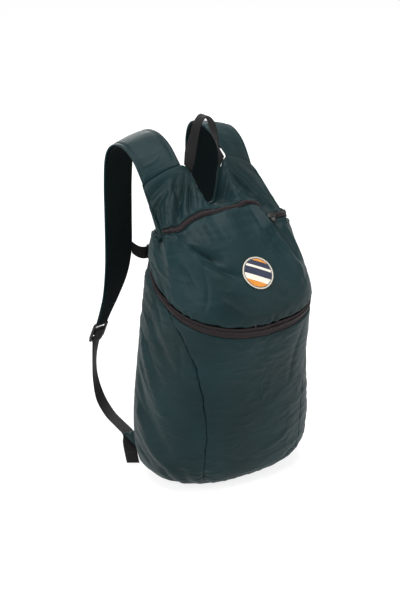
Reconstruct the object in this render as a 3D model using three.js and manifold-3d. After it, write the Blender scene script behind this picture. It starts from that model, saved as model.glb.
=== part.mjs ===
// A packable nylon backpack that stands stuffed on its flat base.
// Millimetres, +Z up. The origin is the middle of the base on the floor, the front faces -Y.
//
// The body is one closed skin, read by two numbers. The angle, in degrees, runs round the bag
// from 0 at the middle of the front over 90 on the side at +X to 180 at the middle of the back.
// The level runs up the bag, one whole number for each row of BODY_ROWS and TOP_LEVEL at the
// neckline. Each cloth panel is a wall of its own cut out of that skin along its seams.

import * as THREE from "three";
import { mergeVertices } from "three/addons/utils/BufferGeometryUtils.js";
import Module from "manifold-3d";

const wasm = await Module();
wasm.setup();

// Driving sizes of the bag
const BODY_HEIGHT = 500;
const HALF_WIDTH = 146;
const FRONT_DEPTH = 124;
const BACK_DEPTH = 92;
const NECK_HALF_WIDTH = 102;
const FABRIC = 1.5;
const SEAM_GAP = 0.3;
const NECK_CLEARANCE = 1.8; // of the back panel below the neckline
const EDGE_SPREAD = 2.5; // half the distance between the outer faces at the neckline
const FOLD_DEPTH = 7;
const FOLD_WIDTH = 15;
const FLAT_RADIUS = 0.86; // of HALF_WIDTH: the mean radius the folds are measured on
const FLOOR_LEAN = 0.6; // how far the wall of the rim leans to the flat floor where it starts

// Zips, patch and trim
const LOWER_ZIP_WIDTH = 19;
const LOWER_ZIP_END = 0.45; // share of its width that is left at the back
const UPPER_ZIP_WIDTH = 10;
const ZIP_TAPE = 1.2;
const COIL_WIDTH = 6;
const COIL_HEIGHT = 1;
const ZIP_RECESS = 0.6;
const UPPER_ZIP_END = 76;
const TAPE_CLEARANCE = 0.65; // beside the tape, whose columns differ from those of the panels
const PATCH_DIAMETER = 52;
const PATCH_THICKNESS = 1.4;
const PATCH_ANGLE = -3.5;
const PATCH_LEVEL = 7.03;
const PATCH_LIFT = 0.65;
const BINDING_WIDTH = 7;
const BINDING_THICKNESS = 1.6;
const SLIDER_LENGTH = 13;
const SLIDER_WIDTH = 9;
const SLIDER_THICKNESS = 3.2;
const SLIDER_CLEARANCE = 0.3;
const PULL_LENGTH = 26;
const PULL_WIDTH = 7;
const PULL_THICKNESS = 1.6;

// Harness
const STRAP_WIDTH = 64;
const STRAP_THICKNESS = 5;
const STRAP_HEM = 6;
const STRAP_EDGE = 2.6;
const STRAP_REACH = 110; // how far the straps hang behind the neckline
const STRAP_ROOT_INNER = 24;
const STRAP_ROOT_OUTER = 76;
const ROOT_CLEARANCE = 1.2; // over the neckline, whose bulge the coarser strap root cuts short
const LINING_THICKNESS = 1;
const WEBBING_WIDTH = 20;
const WEBBING_THICKNESS = 1.5;
const LOOP_HEIGHT = 78;
const LOOP_ROOT_LOW = 15.5;
const LOOP_ROOT_HIGH = 21;
const LOCK_HEIGHT = 30;
const LOCK_THICKNESS = 3.4;
const LOCK_BAR = 4.2;
const LOCK_SIDE = 3.6;
const LOCK_WIDTH = WEBBING_WIDTH + 2 * LOCK_SIDE + 2;
const LOCK_TAB_TILT = 18;
const CLASP_LENGTH = 44;
const CLASP_THICKNESS = 8;
const STERNUM_ROW = 7;
const STERNUM_SAG = 16;
const TAIL_LENGTH = 48;
const TAIL_LAYERS = 2.8; // the tip is folded on itself and sewn
const TAB_THICKNESS = 2;
const TAB_LEVEL_LOW = 1.4;
const TAB_LEVEL_HIGH = 2.35;
const TAB_REACH = 30;
const TAB_RISE = 5;

// A short table: one object for each row, with the columns named once.
function table(columns, rows) {
  return rows.map((row) => Object.fromEntries(columns.map((name, i) => [name, row[i]])));
}

// Level curves of the stuffed bag. Heights are shares of BODY_HEIGHT, the width of HALF_WIDTH,
// the depths of FRONT_DEPTH and BACK_DEPTH. A higher square makes boxier corners.
const BODY_ROWS = table(
  ["zFront", "zSide", "zBack", "width", "front", "back", "squareFront", "squareBack"],
  [
    [0.0, 0.0, 0.0, 0.66, 0.5, 0.66, 2.4, 2.5],
    [0.03, 0.03, 0.03, 0.86, 0.7, 0.87, 2.4, 2.6],
    [0.085, 0.085, 0.085, 0.945, 0.79, 0.97, 2.5, 2.7],
    [0.2, 0.2, 0.2, 0.955, 0.85, 0.98, 2.5, 2.8],
    [0.35, 0.35, 0.35, 0.915, 0.89, 0.95, 2.5, 2.8],
    [0.495, 0.505, 0.5, 0.865, 1.0, 0.88, 2.65, 2.8],
    [0.6, 0.615, 0.6, 0.835, 1.06, 0.8, 2.75, 2.8],
    [0.7, 0.715, 0.7, 0.8, 0.85, 0.72, 2.3, 2.7],
    [0.79, 0.8, 0.775, 0.775, 0.49, 0.62, 2.1, 2.5],
    [0.856, 0.805, 0.82, 0.755, 0.15, 0.52, 2.0, 2.2],
  ],
);
const TOP_LEVEL = BODY_ROWS.length;

// The neckline and the shoulders: across is a share of NECK_HALF_WIDTH, height of BODY_HEIGHT
// and behind of BACK_DEPTH.
const NECKLINE = table(
  ["across", "height", "behind"],
  [
    [0.0, 0.834, 0.391],
    [0.1, 0.841, 0.402],
    [0.2, 0.872, 0.435],
    [0.25, 0.912, 0.45],
    [0.28, 0.946, 0.46],
    [0.33, 0.962, 0.475],
    [0.41, 0.969, 0.5],
    [0.6, 0.958, 0.565],
    [0.8, 0.939, 0.62],
    [0.96, 0.919, 0.652],
    [1.0, 0.903, 0.54],
  ],
);

// Seams and zips on the skin
const BASE_SEAM_LEVEL = 0.55;
const LOWER_ZIP = table(
  ["angle", "level"],
  [
    [0, 5.36],
    [20, 5.4],
    [40, 5.51],
    [60, 5.69],
    [80, 5.98],
    [100, 6.46],
    [126, 7.2],
  ],
);
const UPPER_ZIP = table(
  ["angle", "level"],
  [
    [-76, 9.03],
    [-55, 8.93],
    [-28, 9.03],
    [0, 9.0],
    [17, 9.03],
    [30, 8.72],
    [47, 8.35],
    [76, 8.1],
  ],
);
const FRONT_SEAM = table(
  ["level", "angle"],
  [
    [0.5, 38],
    [2.0, 37],
    [3.0, 36.5],
    [3.75, 40],
    [4.4, 46.5],
    [5.0, 57],
    [5.5, 69],
    [6.0, 82],
  ],
);
const BACK_SEAM = table(
  ["level", "angle"],
  [
    [0, 131],
    [3, 130],
    [7.3, 124],
    [10, 108],
  ],
);

// Main folds of the cloth, as straight runs on the skin. Height is a share of FOLD_DEPTH, up
// where positive, and width a share of FOLD_WIDTH.
const FOLDS = table(
  ["angleFrom", "levelFrom", "angleTo", "levelTo", "height", "width"],
  [
    // gathers below the shoulders
    [-33, 9.65, -48, 9.15, -0.75, 0.6],
    [-24, 9.6, -31, 9.2, -0.6, 0.55],
    [-42, 9.6, -60, 9.0, 0.5, 0.7],
    [24, 9.6, 38, 8.9, -0.8, 0.6],
    [33, 9.6, 52, 8.9, 0.45, 0.6],
    // the drape beside the upper zip
    [-80, 9.3, -88, 8.3, -1.0, 0.9],
    [-73, 8.3, -70, 7.0, 0.7, 0.9],
    // the taut ridge from the upper zip down to the right
    [17, 9.0, 25, 8.0, 0.7, 0.6],
    [25, 8.0, 37, 6.7, 0.6, 0.7],
    [34, 7.9, 42, 7.1, -0.5, 0.6],
    // slanting creases of the pocket
    [-46, 7.75, -27, 7.45, -0.55, 0.5],
    [-40, 7.4, -19, 7.0, -0.4, 0.5],
    // slanting wrinkles of the side and front walls
    [-104, 4.6, -70, 3.5, 0.5, 0.7],
    [-108, 3.9, -66, 2.6, -0.5, 0.7],
    [-104, 3.2, -62, 2.0, 0.5, 0.7],
    [-92, 5.2, -66, 4.4, -0.4, 0.6],
    [104, 4.6, 74, 3.6, 0.4, 0.7],
    [100, 3.4, 60, 2.4, -0.45, 0.7],
    [58, 4.6, 44, 3.9, -0.4, 0.6],
    // puckers where the wall is gathered to the base
    [-52, 1.9, -48, 0.8, -0.5, 0.5],
    [-36, 1.7, -36, 0.7, -0.5, 0.45],
    [-68, 1.8, -62, 0.8, -0.45, 0.5],
    [30, 1.5, 28, 0.7, -0.5, 0.45],
  ],
);
const FOLDS_FADE = 0.5; // levels below the neckline over which the folds die out
const ZIP_DIP = 2.6; // how deep the cloth is drawn in along the lower zip
const ZIP_DIP_WIDTH = 13;

// Shoulder strap on one side, from the neckline over the crest and down behind the back.
// Out is a share of HALF_WIDTH, behind of STRAP_REACH, up of BODY_HEIGHT, all counted from the
// root; width is a share of STRAP_WIDTH; roll lifts the inner edge and yaw swings it back.
const STRAP_ROWS = table(
  ["out", "behind", "up", "width", "roll", "yaw"],
  [
    [0.0, 0.25, 0.056, 1.0, 17, -6],
    [0.007, 0.545, 0.083, 1.0, 14, 0],
    [0.027, 0.818, 0.073, 0.97, 12, 6],
    [0.048, 0.964, 0.025, 0.94, 6, 10],
    [0.062, 1.0, -0.069, 0.91, 0, 11],
    [0.068, 1.0, -0.189, 0.89, 0, 11],
    [0.075, 1.0, -0.299, 0.875, 0, 11],
    [0.096, 1.036, -0.379, 0.766, 0, 11],
    [0.137, 1.1, -0.449, 0.563, 0, 11],
    [0.185, 1.173, -0.509, 0.406, 0, 11],
    [0.212, 1.227, -0.547, 0.344, 0, 11],
  ],
);

// Webbing from the tab at the base up to the ladder lock: along, back and up are shares of the
// way from the tab, at 0, to the lock, at 1, each on its own axis; yaw and roll turn its width.
const WEBBING_ROWS = table(
  ["along", "back", "up", "yaw"],
  [
    [0.1, 0.26, 0.04, 4],
    [0.2, 0.57, 0.088, 8],
    [0.4, 0.87, 0.216, 16],
    [0.6, 1.04, 0.44, 36],
    [0.7, 1.07, 0.68, 41],
    [0.9, 1.04, 0.92, 28],
  ],
);
// Its free end below the tab, in shares of TAIL_LENGTH from the tab, and its folded tip
const TAIL_ROWS = table(
  ["out", "ahead", "down", "yaw"],
  [
    [0.167, 0.542, 0.83, -34],
    [0.146, 0.396, 0.56, -28],
    [0.083, 0.167, 0.23, -16],
  ],
);

// Smooth curve through the rows of a table, without overshoot.
function smoothTable(rows, keyColumn, valueColumn, key) {
  const last = rows.length - 1;
  const x = THREE.MathUtils.clamp(key, rows[0][keyColumn], rows[last][keyColumn]);
  let i = 0;
  while (i < last - 1 && x > rows[i + 1][keyColumn]) i += 1;
  const slope = (k) =>
    (rows[k + 1][valueColumn] - rows[k][valueColumn]) / (rows[k + 1][keyColumn] - rows[k][keyColumn]);
  const tangent = (k) => {
    if (k === 0) return slope(0);
    if (k === last) return slope(last - 1);
    const before = slope(k - 1);
    const after = slope(k);
    return before * after > 0 ? (2 * before * after) / (before + after) : 0;
  };
  const step = rows[i + 1][keyColumn] - rows[i][keyColumn];
  const u = (x - rows[i][keyColumn]) / step;
  const from = rows[i][valueColumn];
  const to = rows[i + 1][valueColumn];
  return (
    from * (2 * u ** 3 - 3 * u ** 2 + 1) +
    to * (3 * u ** 2 - 2 * u ** 3) +
    step * (tangent(i) * (u ** 3 - 2 * u ** 2 + u) + tangent(i + 1) * (u ** 3 - u ** 2))
  );
}

function catmullRom(before, from, to, after, u) {
  return from
    .clone()
    .multiplyScalar(2)
    .addScaledVector(to.clone().sub(before), u)
    .addScaledVector(before.clone().multiplyScalar(2).addScaledVector(from, -5).addScaledVector(to, 4).sub(after), u * u)
    .addScaledVector(from.clone().multiplyScalar(3).addScaledVector(to, -3).sub(before).add(after), u ** 3)
    .multiplyScalar(0.5);
}

const radians = THREE.MathUtils.degToRad;
const vector = (x, y, z) => new THREE.Vector3(x, y, z);

// Point of one level curve
function rowPoint(row, angle) {
  const side = Math.sin(radians(angle));
  const ahead = Math.cos(radians(angle));
  if (row === TOP_LEVEL) return neckPoint(side, ahead);
  const r = BODY_ROWS[row];
  const square = ahead > 0 ? r.squareFront : r.squareBack;
  const reach = (Math.abs(side) ** square + Math.abs(ahead) ** square) ** (-1 / square);
  const depth = ahead > 0 ? r.front * FRONT_DEPTH : r.back * BACK_DEPTH;
  const rise = (ahead > 0 ? r.zFront : r.zBack) - r.zSide;
  return vector(
    r.width * HALF_WIDTH * side * reach,
    -depth * ahead * reach,
    BODY_HEIGHT * (r.zSide + rise * ahead * ahead),
  );
}

// Point of the neckline: the front edge lies EDGE_SPREAD ahead of the middle, the back behind it.
function neckPoint(side, ahead) {
  const across = Math.abs(side);
  const spread = EDGE_SPREAD * THREE.MathUtils.clamp(4 * ahead, -1, 1);
  return vector(
    NECK_HALF_WIDTH * side,
    BACK_DEPTH * smoothTable(NECKLINE, "across", "behind", across) - spread,
    BODY_HEIGHT * smoothTable(NECKLINE, "across", "height", across),
  );
}

// Point of the smooth skin, without folds
function skinPoint(angle, level) {
  const row = THREE.MathUtils.clamp(Math.floor(level), 0, TOP_LEVEL - 1);
  const from = rowPoint(row, angle);
  const to = rowPoint(row + 1, angle);
  const before = row > 0 ? rowPoint(row - 1, angle) : from.clone().multiplyScalar(2).sub(to);
  const after = row + 2 <= TOP_LEVEL ? rowPoint(row + 2, angle) : to.clone().multiplyScalar(2).sub(from);
  return catmullRom(before, from, to, after, level - row);
}

const NUDGE_ANGLE = 0.5;
const NUDGE_LEVEL = 0.02;

function skinNormal(angle, level) {
  const round = skinPoint(angle + NUDGE_ANGLE, level).sub(skinPoint(angle - NUDGE_ANGLE, level));
  const above = Math.min(level + NUDGE_LEVEL, TOP_LEVEL);
  const below = Math.max(level - NUDGE_LEVEL, 0);
  const up = skinPoint(angle, above).sub(skinPoint(angle, below));
  return round.cross(up).normalize();
}

// Lengths along the skin, to turn millimetres into angle and level
function millimetresPerLevel(angle, level) {
  const above = Math.min(level + NUDGE_LEVEL, TOP_LEVEL);
  const below = above - 2 * NUDGE_LEVEL;
  return skinPoint(angle, above).distanceTo(skinPoint(angle, below)) / (above - below);
}

function millimetresPerDegree(angle, level) {
  return skinPoint(angle + NUDGE_ANGLE, level).distanceTo(skinPoint(angle - NUDGE_ANGLE, level)) / (2 * NUDGE_ANGLE);
}

// The same angle counted from the middle of the back, so that both ways round agree
const turned = (angle) => THREE.MathUtils.euclideanModulo(angle + 180, 360) - 180;

const lowerZipLevel = (angle) => smoothTable(LOWER_ZIP, "angle", "level", Math.abs(turned(angle)));
const upperZipLevel = (angle) => smoothTable(UPPER_ZIP, "angle", "level", angle);
const frontSeamAngle = (level) => smoothTable(FRONT_SEAM, "level", "angle", level);
const backSeamAngle = (level) => smoothTable(BACK_SEAM, "level", "angle", level);

// The cloth laid flat, where the folds are measured
function flat(angle, level) {
  const row = THREE.MathUtils.clamp(Math.floor(level), 0, TOP_LEVEL - 1);
  const height = (k) => (k === TOP_LEVEL ? NECKLINE[NECKLINE.length - 3].height : BODY_ROWS[k].zSide);
  const share = THREE.MathUtils.lerp(height(row), height(row + 1), level - row);
  return new THREE.Vector2(radians(turned(angle)) * FLAT_RADIUS * HALF_WIDTH, BODY_HEIGHT * share);
}

function foldHeight(angle, level) {
  const here = flat(angle, level);
  let height = 0;
  for (const fold of FOLDS) {
    const from = flat(fold.angleFrom, fold.levelFrom);
    const run = flat(fold.angleTo, fold.levelTo).sub(from);
    const along = THREE.MathUtils.clamp(here.clone().sub(from).dot(run) / run.lengthSq(), 0, 1);
    const away = here.distanceTo(from.addScaledVector(run, along)) / (fold.width * FOLD_WIDTH);
    height += fold.height * FOLD_DEPTH * Math.exp(-away * away);
  }
  height *= THREE.MathUtils.clamp((TOP_LEVEL - level) / FOLDS_FADE, 0, 1);
  const toZip = (level - lowerZipLevel(angle)) * millimetresPerLevel(angle, level);
  return height - ZIP_DIP * Math.exp(-((toZip / ZIP_DIP_WIDTH) ** 2));
}

// A point of the folded skin, sunk below its outer face by depth
function cloth(angle, level, depth = 0) {
  const lift = foldHeight(angle, level) - depth;
  return skinPoint(angle, level).addScaledVector(skinNormal(angle, level), lift);
}

// Triangles collected into one closed solid
function solid(triangles) {
  const points = new THREE.BufferGeometry().setFromPoints(triangles.flat());
  const merged = mergeVertices(points, 0.001);
  const index = [];
  for (let i = 0; i < merged.index.count; i += 3) {
    const corners = [0, 1, 2].map((k) => merged.index.getX(i + k));
    if (new Set(corners).size === 3) index.push(...corners);
  }
  if (volume(merged.attributes.position, index) < 0) index.reverse();
  merged.setIndex(index);
  return merged;
}

function volume(position, index) {
  const corner = (k) => new THREE.Vector3().fromBufferAttribute(position, index[k]);
  let sum = 0;
  for (let i = 0; i < index.length; i += 3) {
    sum += corner(i).dot(corner(i + 1).cross(corner(i + 2)));
  }
  return sum / 6;
}

// A wall between two grids of points, outer and inner, with a rim round its edges and round
// the cells left open. round joins the last column to the first; pole closes the first row.
function wall(outer, inner, { open = () => false, round = false, pole = false } = {}) {
  const rows = outer.length - 1;
  const columns = outer[0].length - 1;
  const triangles = [];
  const quad = (a, b, c, d) => triangles.push([a, b, c], [a, c, d]);
  const filled = (j, i) => {
    const column = round ? (i + columns) % columns : i;
    return j >= 0 && j < rows && column >= 0 && column < columns && !open(j, column);
  };
  for (let j = 0; j < rows; j += 1) {
    for (let i = 0; i < columns; i += 1) {
      if (!filled(j, i)) continue;
      quad(outer[j][i], outer[j][i + 1], outer[j + 1][i + 1], outer[j + 1][i]);
      quad(inner[j][i], inner[j + 1][i], inner[j + 1][i + 1], inner[j][i + 1]);
      if (!filled(j - 1, i) && !(pole && j === 0)) quad(inner[j][i], inner[j][i + 1], outer[j][i + 1], outer[j][i]);
      if (!filled(j + 1, i)) quad(inner[j + 1][i], outer[j + 1][i], outer[j + 1][i + 1], inner[j + 1][i + 1]);
      if (!filled(j, i - 1)) quad(outer[j][i], outer[j + 1][i], inner[j + 1][i], inner[j][i]);
      if (!filled(j, i + 1)) quad(outer[j][i + 1], inner[j][i + 1], inner[j + 1][i + 1], outer[j + 1][i + 1]);
    }
  }
  return solid(triangles.map(([a, b, c]) => [a.clone(), b.clone(), c.clone()]));
}

const steps = (count) => Array.from({ length: count + 1 }, (_, i) => i / count);
const lerp = THREE.MathUtils.lerp;

// A cloth panel: place(across, up) gives the angle and level of a point of its outline square.
function panel(columns, rows, place, options) {
  const spots = rows.map((up) => columns.map((across) => place(across, up)));
  const outer = spots.map((row) => row.map(([angle, level]) => cloth(angle, level)));
  const inner = spots.map((row) => row.map(([angle, level]) => cloth(angle, level, FABRIC)));
  return wall(outer, inner, options);
}

// Angle and level moved off a seam by half the seam gap
const besideSeam = (angle, level, way) => angle + (way * SEAM_GAP) / 2 / millimetresPerDegree(angle, level);
const aboveSeam = (angle, level, way) => level + (way * SEAM_GAP) / 2 / millimetresPerLevel(angle, level);

function zipEdge(angle, level, width, way) {
  return level + (way * (width + SEAM_GAP)) / 2 / millimetresPerLevel(angle, level);
}

const lowerZipWidth = (angle) => LOWER_ZIP_WIDTH * lerp(LOWER_ZIP_END, 1, Math.cos(radians(angle) / 1.3) ** 2);
const lowerZipEdge = (angle, way) => zipEdge(angle, lowerZipLevel(angle), lowerZipWidth(angle), way);
const upperZipEdge = (angle, way) => zipEdge(angle, upperZipLevel(angle), UPPER_ZIP_WIDTH, way);

// Point of a four-sided panel whose side seams follow the level and whose end follows the angle
function betweenSeams(across, up, fromAngle, toAngle, bottom, top) {
  let level = lerp(BASE_SEAM_LEVEL, TOP_LEVEL, up);
  let angle = 0;
  for (let pass = 0; pass < 8; pass += 1) {
    angle = lerp(besideSeam(fromAngle(level), level, 1), besideSeam(toAngle(level), level, -1), across);
    level = lerp(bottom(angle), top(angle), up);
  }
  return [angle, level];
}

const baseSeamTop = (angle) => aboveSeam(angle, BASE_SEAM_LEVEL, 1);
const lowerZipBottom = (angle) => lowerZipEdge(angle, -1);

const FRONT_COLUMNS = steps(14);
const SIDE_COLUMNS = steps(9);
const WALL_ROWS = steps(14);
const BACK_COLUMNS = [0, 0.08, 0.2, 0.3, 0.38, 0.44, 0.5, 0.56, 0.62, 0.7, 0.8, 0.92, 1];

const frontSpot = (across, up) =>
  betweenSeams(across, up, (l) => -frontSeamAngle(l), frontSeamAngle, baseSeamTop, lowerZipBottom);
const sideSpot = (across, up) =>
  betweenSeams(across, up, frontSeamAngle, backSeamAngle, baseSeamTop, lowerZipBottom);

function sidePanel(side) {
  const place = (across, up) => {
    const [angle, level] = sideSpot(across, up);
    return [side * angle, level];
  };
  return panel(SIDE_COLUMNS, WALL_ROWS, place);
}

const UPPER_ZIP_ROW = 9;
const YOKE_ROWS = 5;
const UPPER_ROWS = [...Array(UPPER_ZIP_ROW + 1 + YOKE_ROWS + 1).keys()];

// The pocket face and the yoke are one cloth; the cells of the upper zip are left open.
function upperFrontPanel() {
  const half = [0, 4, 8, 12, 14, 16, 20, 24, 28, 34, 40, 46, 52, 58, 64, 70, UPPER_ZIP_END].map((a) => a / UPPER_ZIP_END);
  const beyond = [1.12, 1.24, 1.36, 1.5];
  const columns = [...half.slice(1), ...beyond].reverse().map((a) => -a).concat(half, beyond);
  const last = beyond[beyond.length - 1];
  const place = (across, row) => {
    const outside = (Math.abs(across) - 1) / (last - 1);
    let angle = 0;
    let level = TOP_LEVEL / 2;
    for (let pass = 0; pass < 8; pass += 1) {
      const edge = besideSeam(backSeamAngle(level), level, -1);
      const reach = outside > 0 ? lerp(UPPER_ZIP_END, edge, outside) : Math.abs(across) * UPPER_ZIP_END;
      angle = Math.sign(across) * reach;
      level = upperFrontLevel(angle, row);
    }
    return [angle, level];
  };
  const isZip = (row, column) => row === UPPER_ZIP_ROW && Math.abs(columns[column] + columns[column + 1]) < 2;
  return panel(columns, UPPER_ROWS, place, { open: isZip });
}

function upperFrontLevel(angle, row) {
  const bottom = lowerZipEdge(angle, 1);
  const zipBottom = upperZipEdge(angle, -1);
  const zipTop = upperZipEdge(angle, 1);
  if (row <= UPPER_ZIP_ROW) return lerp(bottom, zipBottom, row / UPPER_ZIP_ROW);
  return lerp(zipTop, TOP_LEVEL, (row - UPPER_ZIP_ROW - 1) / YOKE_ROWS);
}

// The back panel has the rows of the side panels and the upper front panel, whose seams it
// shares. Its top edge stays a little below the neckline.
const BACK_LOWER_ROWS = WALL_ROWS.length - 1;
const BACK_ROWS = [...Array(BACK_LOWER_ROWS + 1 + UPPER_ROWS.length).keys()];

function backSeamLevel(side, row) {
  const share = row / BACK_LOWER_ROWS;
  let level = TOP_LEVEL / 2;
  for (let pass = 0; pass < 8; pass += 1) {
    const angle = side * backSeamAngle(level);
    if (share <= 1) level = lerp(baseSeamTop(angle), lowerZipBottom(angle), share);
    else level = upperFrontLevel(angle, row - BACK_LOWER_ROWS - 1);
  }
  return row === BACK_ROWS.length - 1 ? level - NECK_CLEARANCE / millimetresPerLevel(180, level) : level;
}

function backSpot(across, row) {
  const level = lerp(backSeamLevel(1, row), backSeamLevel(-1, row), across);
  const seam = backSeamAngle(level);
  return [lerp(besideSeam(seam, level, 1), besideSeam(360 - seam, level, -1), across), level];
}

// Angles of the base, column for column those of the panels that stand on it
function baseAngles() {
  const bottom = (columns, spot) => columns.map((across) => spot(across, 0)[0]);
  const right = bottom(SIDE_COLUMNS, sideSpot);
  const left = right.map((angle) => 360 - angle).reverse();
  const front = bottom(FRONT_COLUMNS, frontSpot);
  return [...front, ...right, ...bottom(BACK_COLUMNS, backSpot), ...left, front[0] + 360];
}

// The base: a flat oval and a rim that turns up to the base seam
function basePanel() {
  const angles = baseAngles();
  const down = vector(0, 0, -1);
  const outer = [];
  const inner = [];
  outer.push(angles.map(() => vector(0, 0, 0)));
  inner.push(angles.map(() => vector(0, 0, FABRIC)));
  for (const share of steps(3)) {
    const spot = (angle, depth) => {
      const level = share * aboveSeam(angle, BASE_SEAM_LEVEL, -1);
      const lean = skinNormal(angle, level).lerp(down, FLOOR_LEAN * (1 - share)).normalize();
      const lift = share * foldHeight(angle, level);
      return skinPoint(angle, level).addScaledVector(skinNormal(angle, level), lift).addScaledVector(lean, -depth);
    };
    outer.push(angles.map((angle) => spot(angle, 0)));
    inner.push(angles.map((angle) => spot(angle, FABRIC)));
  }
  return wall(outer, inner, { round: true, pole: true });
}

// A zip: a tape in the slot with the raised coil along its middle
function zip(fromAngle, toAngle, count, levelAt, widthAt) {
  const across = [-1, -0.34, 0.34, 1];
  const raise = [0, COIL_HEIGHT, COIL_HEIGHT, 0];
  const columns = steps(count).map((share) => lerp(fromAngle, toAngle, share));
  const spot = (angle, k) => {
    const reach = Math.abs(across[k]) < 1 ? COIL_WIDTH / 2 : widthAt(angle) / 2 - TAPE_CLEARANCE;
    const level = levelAt(angle);
    return [angle, level + (Math.sign(across[k]) * reach) / millimetresPerLevel(angle, level)];
  };
  const sheet = (depth) => across.map((_, k) => columns.map((angle) => cloth(...spot(angle, k), depth(k))));
  const outer = sheet((k) => ZIP_RECESS - raise[k]);
  const inner = sheet(() => ZIP_RECESS + ZIP_TAPE);
  return wall(outer, inner);
}

function lowerZip() {
  const end = backSeamAngle(lowerZipLevel(backSeamAngle(lowerZipLevel(120)))) - 0.4;
  return zip(-end, end, 36, lowerZipLevel, lowerZipWidth);
}

function upperZip() {
  return zip(-UPPER_ZIP_END + 0.25, UPPER_ZIP_END - 0.25, 30, upperZipLevel, () => UPPER_ZIP_WIDTH);
}

// Local axes on the skin: along the angle, up the level and out of the bag
function skinFrame(angle, level) {
  const out = skinNormal(angle, level);
  const along = skinPoint(angle + NUDGE_ANGLE, level).sub(skinPoint(angle - NUDGE_ANGLE, level)).normalize();
  const up = out.clone().cross(along).normalize();
  return new THREE.Matrix4().makeBasis(along, up, out).setPosition(cloth(angle, level));
}

function roundPatch() {
  const rings = [0, 0.6, 1];
  const frame = skinFrame(PATCH_ANGLE, PATCH_LEVEL);
  const centre = new THREE.Vector3().setFromMatrixPosition(frame);
  const sheet = (depth) =>
    rings.map((ring) =>
      steps(24).map((share) => {
        const turn = 2 * Math.PI * share;
        const radius = (ring * PATCH_DIAMETER) / 2;
        const [angle, level] = spotUnder(frame, centre, radius * Math.cos(turn), radius * Math.sin(turn));
        return cloth(angle, level, depth);
      }),
    );
  return wall(sheet(-PATCH_LIFT - PATCH_THICKNESS), sheet(-PATCH_LIFT), { round: true, pole: true });
}

// The angle and level under a point of a tangent plane, by a few corrections
function spotUnder(frame, centre, x, y) {
  const along = new THREE.Vector3().setFromMatrixColumn(frame, 0);
  const up = new THREE.Vector3().setFromMatrixColumn(frame, 1);
  let angle = PATCH_ANGLE;
  let level = PATCH_LEVEL;
  for (let pass = 0; pass < 12; pass += 1) {
    const off = skinPoint(angle, level).sub(centre);
    angle += (x - off.dot(along)) / millimetresPerDegree(angle, level);
    level += (y - off.dot(up)) / millimetresPerLevel(angle, level);
  }
  return [angle, level];
}

// Solids joined with manifold-3d
function manifold(geometry) {
  const bare = geometry.clone();
  bare.deleteAttribute("normal");
  bare.deleteAttribute("uv");
  const merged = mergeVertices(bare, 1e-4);
  const mesh = new wasm.Mesh({
    numProp: 3,
    vertProperties: new Float32Array(merged.attributes.position.array),
    triVerts: new Uint32Array(merged.index.array),
  });
  return new wasm.Manifold(mesh);
}

function geometryOf(body) {
  const mesh = body.getMesh();
  const geometry = new THREE.BufferGeometry();
  geometry.setAttribute("position", new THREE.BufferAttribute(new Float32Array(mesh.vertProperties), 3));
  geometry.setIndex(new THREE.BufferAttribute(new Uint32Array(mesh.triVerts), 1));
  return geometry;
}

// A plate with rounded corners, lying in XY and standing from bottom to bottom + thickness
function plate(width, length, thickness, bottom, radius, hole) {
  const shape = new THREE.Shape(roundedOutline(width, length, radius));
  if (hole) shape.holes.push(new THREE.Path(roundedOutline(hole, hole, hole / 2.01)));
  const geometry = new THREE.ExtrudeGeometry(shape, { depth: thickness, bevelEnabled: false, curveSegments: 3 });
  return geometry.translate(0, 0, bottom);
}

function roundedOutline(width, length, radius) {
  const points = [];
  const centres = [[1, 1, 0], [-1, 1, 90], [-1, -1, 180], [1, -1, 270]];
  for (const [sx, sy, start] of centres) {
    for (const turn of [0, 45, 90]) {
      const a = radians(start + turn);
      const x = sx * (width / 2 - radius) + radius * Math.cos(a);
      points.push(new THREE.Vector2(x, sy * (length / 2 - radius) + radius * Math.sin(a)));
    }
  }
  return points;
}

// Local axes on a zip: along it, across it and out of the bag
function zipFrame(levelAt, angle, tilt) {
  const spread = SLIDER_LENGTH / 2 / millimetresPerDegree(angle, levelAt(angle));
  const level = levelAt(angle);
  const step = SLIDER_WIDTH / millimetresPerLevel(angle, level);
  const ahead = cloth(angle + spread, levelAt(angle + spread));
  const along = ahead.sub(cloth(angle - spread, levelAt(angle - spread))).normalize();
  const out = along.clone().cross(cloth(angle, level + step).sub(cloth(angle, level - step))).normalize();
  const up = out.clone().cross(along);
  along.applyAxisAngle(out, tilt);
  up.applyAxisAngle(out, tilt);
  return new THREE.Matrix4().makeBasis(along, up, out).setPosition(cloth(angle, level));
}

// How far the coil and the cloth rise above the frame's plane under a strip of it that hangs
// from y = top down to y = bottom
function seatHeight(levelAt, angle, frame, top, bottom) {
  const toFrame = frame.clone().invert();
  const reach = (2 * SLIDER_LENGTH) / millimetresPerDegree(angle, levelAt(angle));
  let highest = 0;
  for (const share of steps(40)) {
    const spot = lerp(angle - reach, angle + reach, share);
    for (const rise of steps(24)) {
      const up = lerp(-PULL_LENGTH, SLIDER_LENGTH, rise);
      const level = levelAt(spot) + up / millimetresPerLevel(spot, levelAt(spot));
      const point = cloth(spot, level, Math.abs(up) < COIL_WIDTH ? ZIP_RECESS - COIL_HEIGHT : 0);
      point.applyMatrix4(toFrame);
      const isUnder = Math.abs(point.x) < SLIDER_LENGTH / 2 + 0.5 && point.y < top && point.y > bottom;
      if (isUnder) highest = Math.max(highest, point.z);
    }
  }
  return highest;
}

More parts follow.
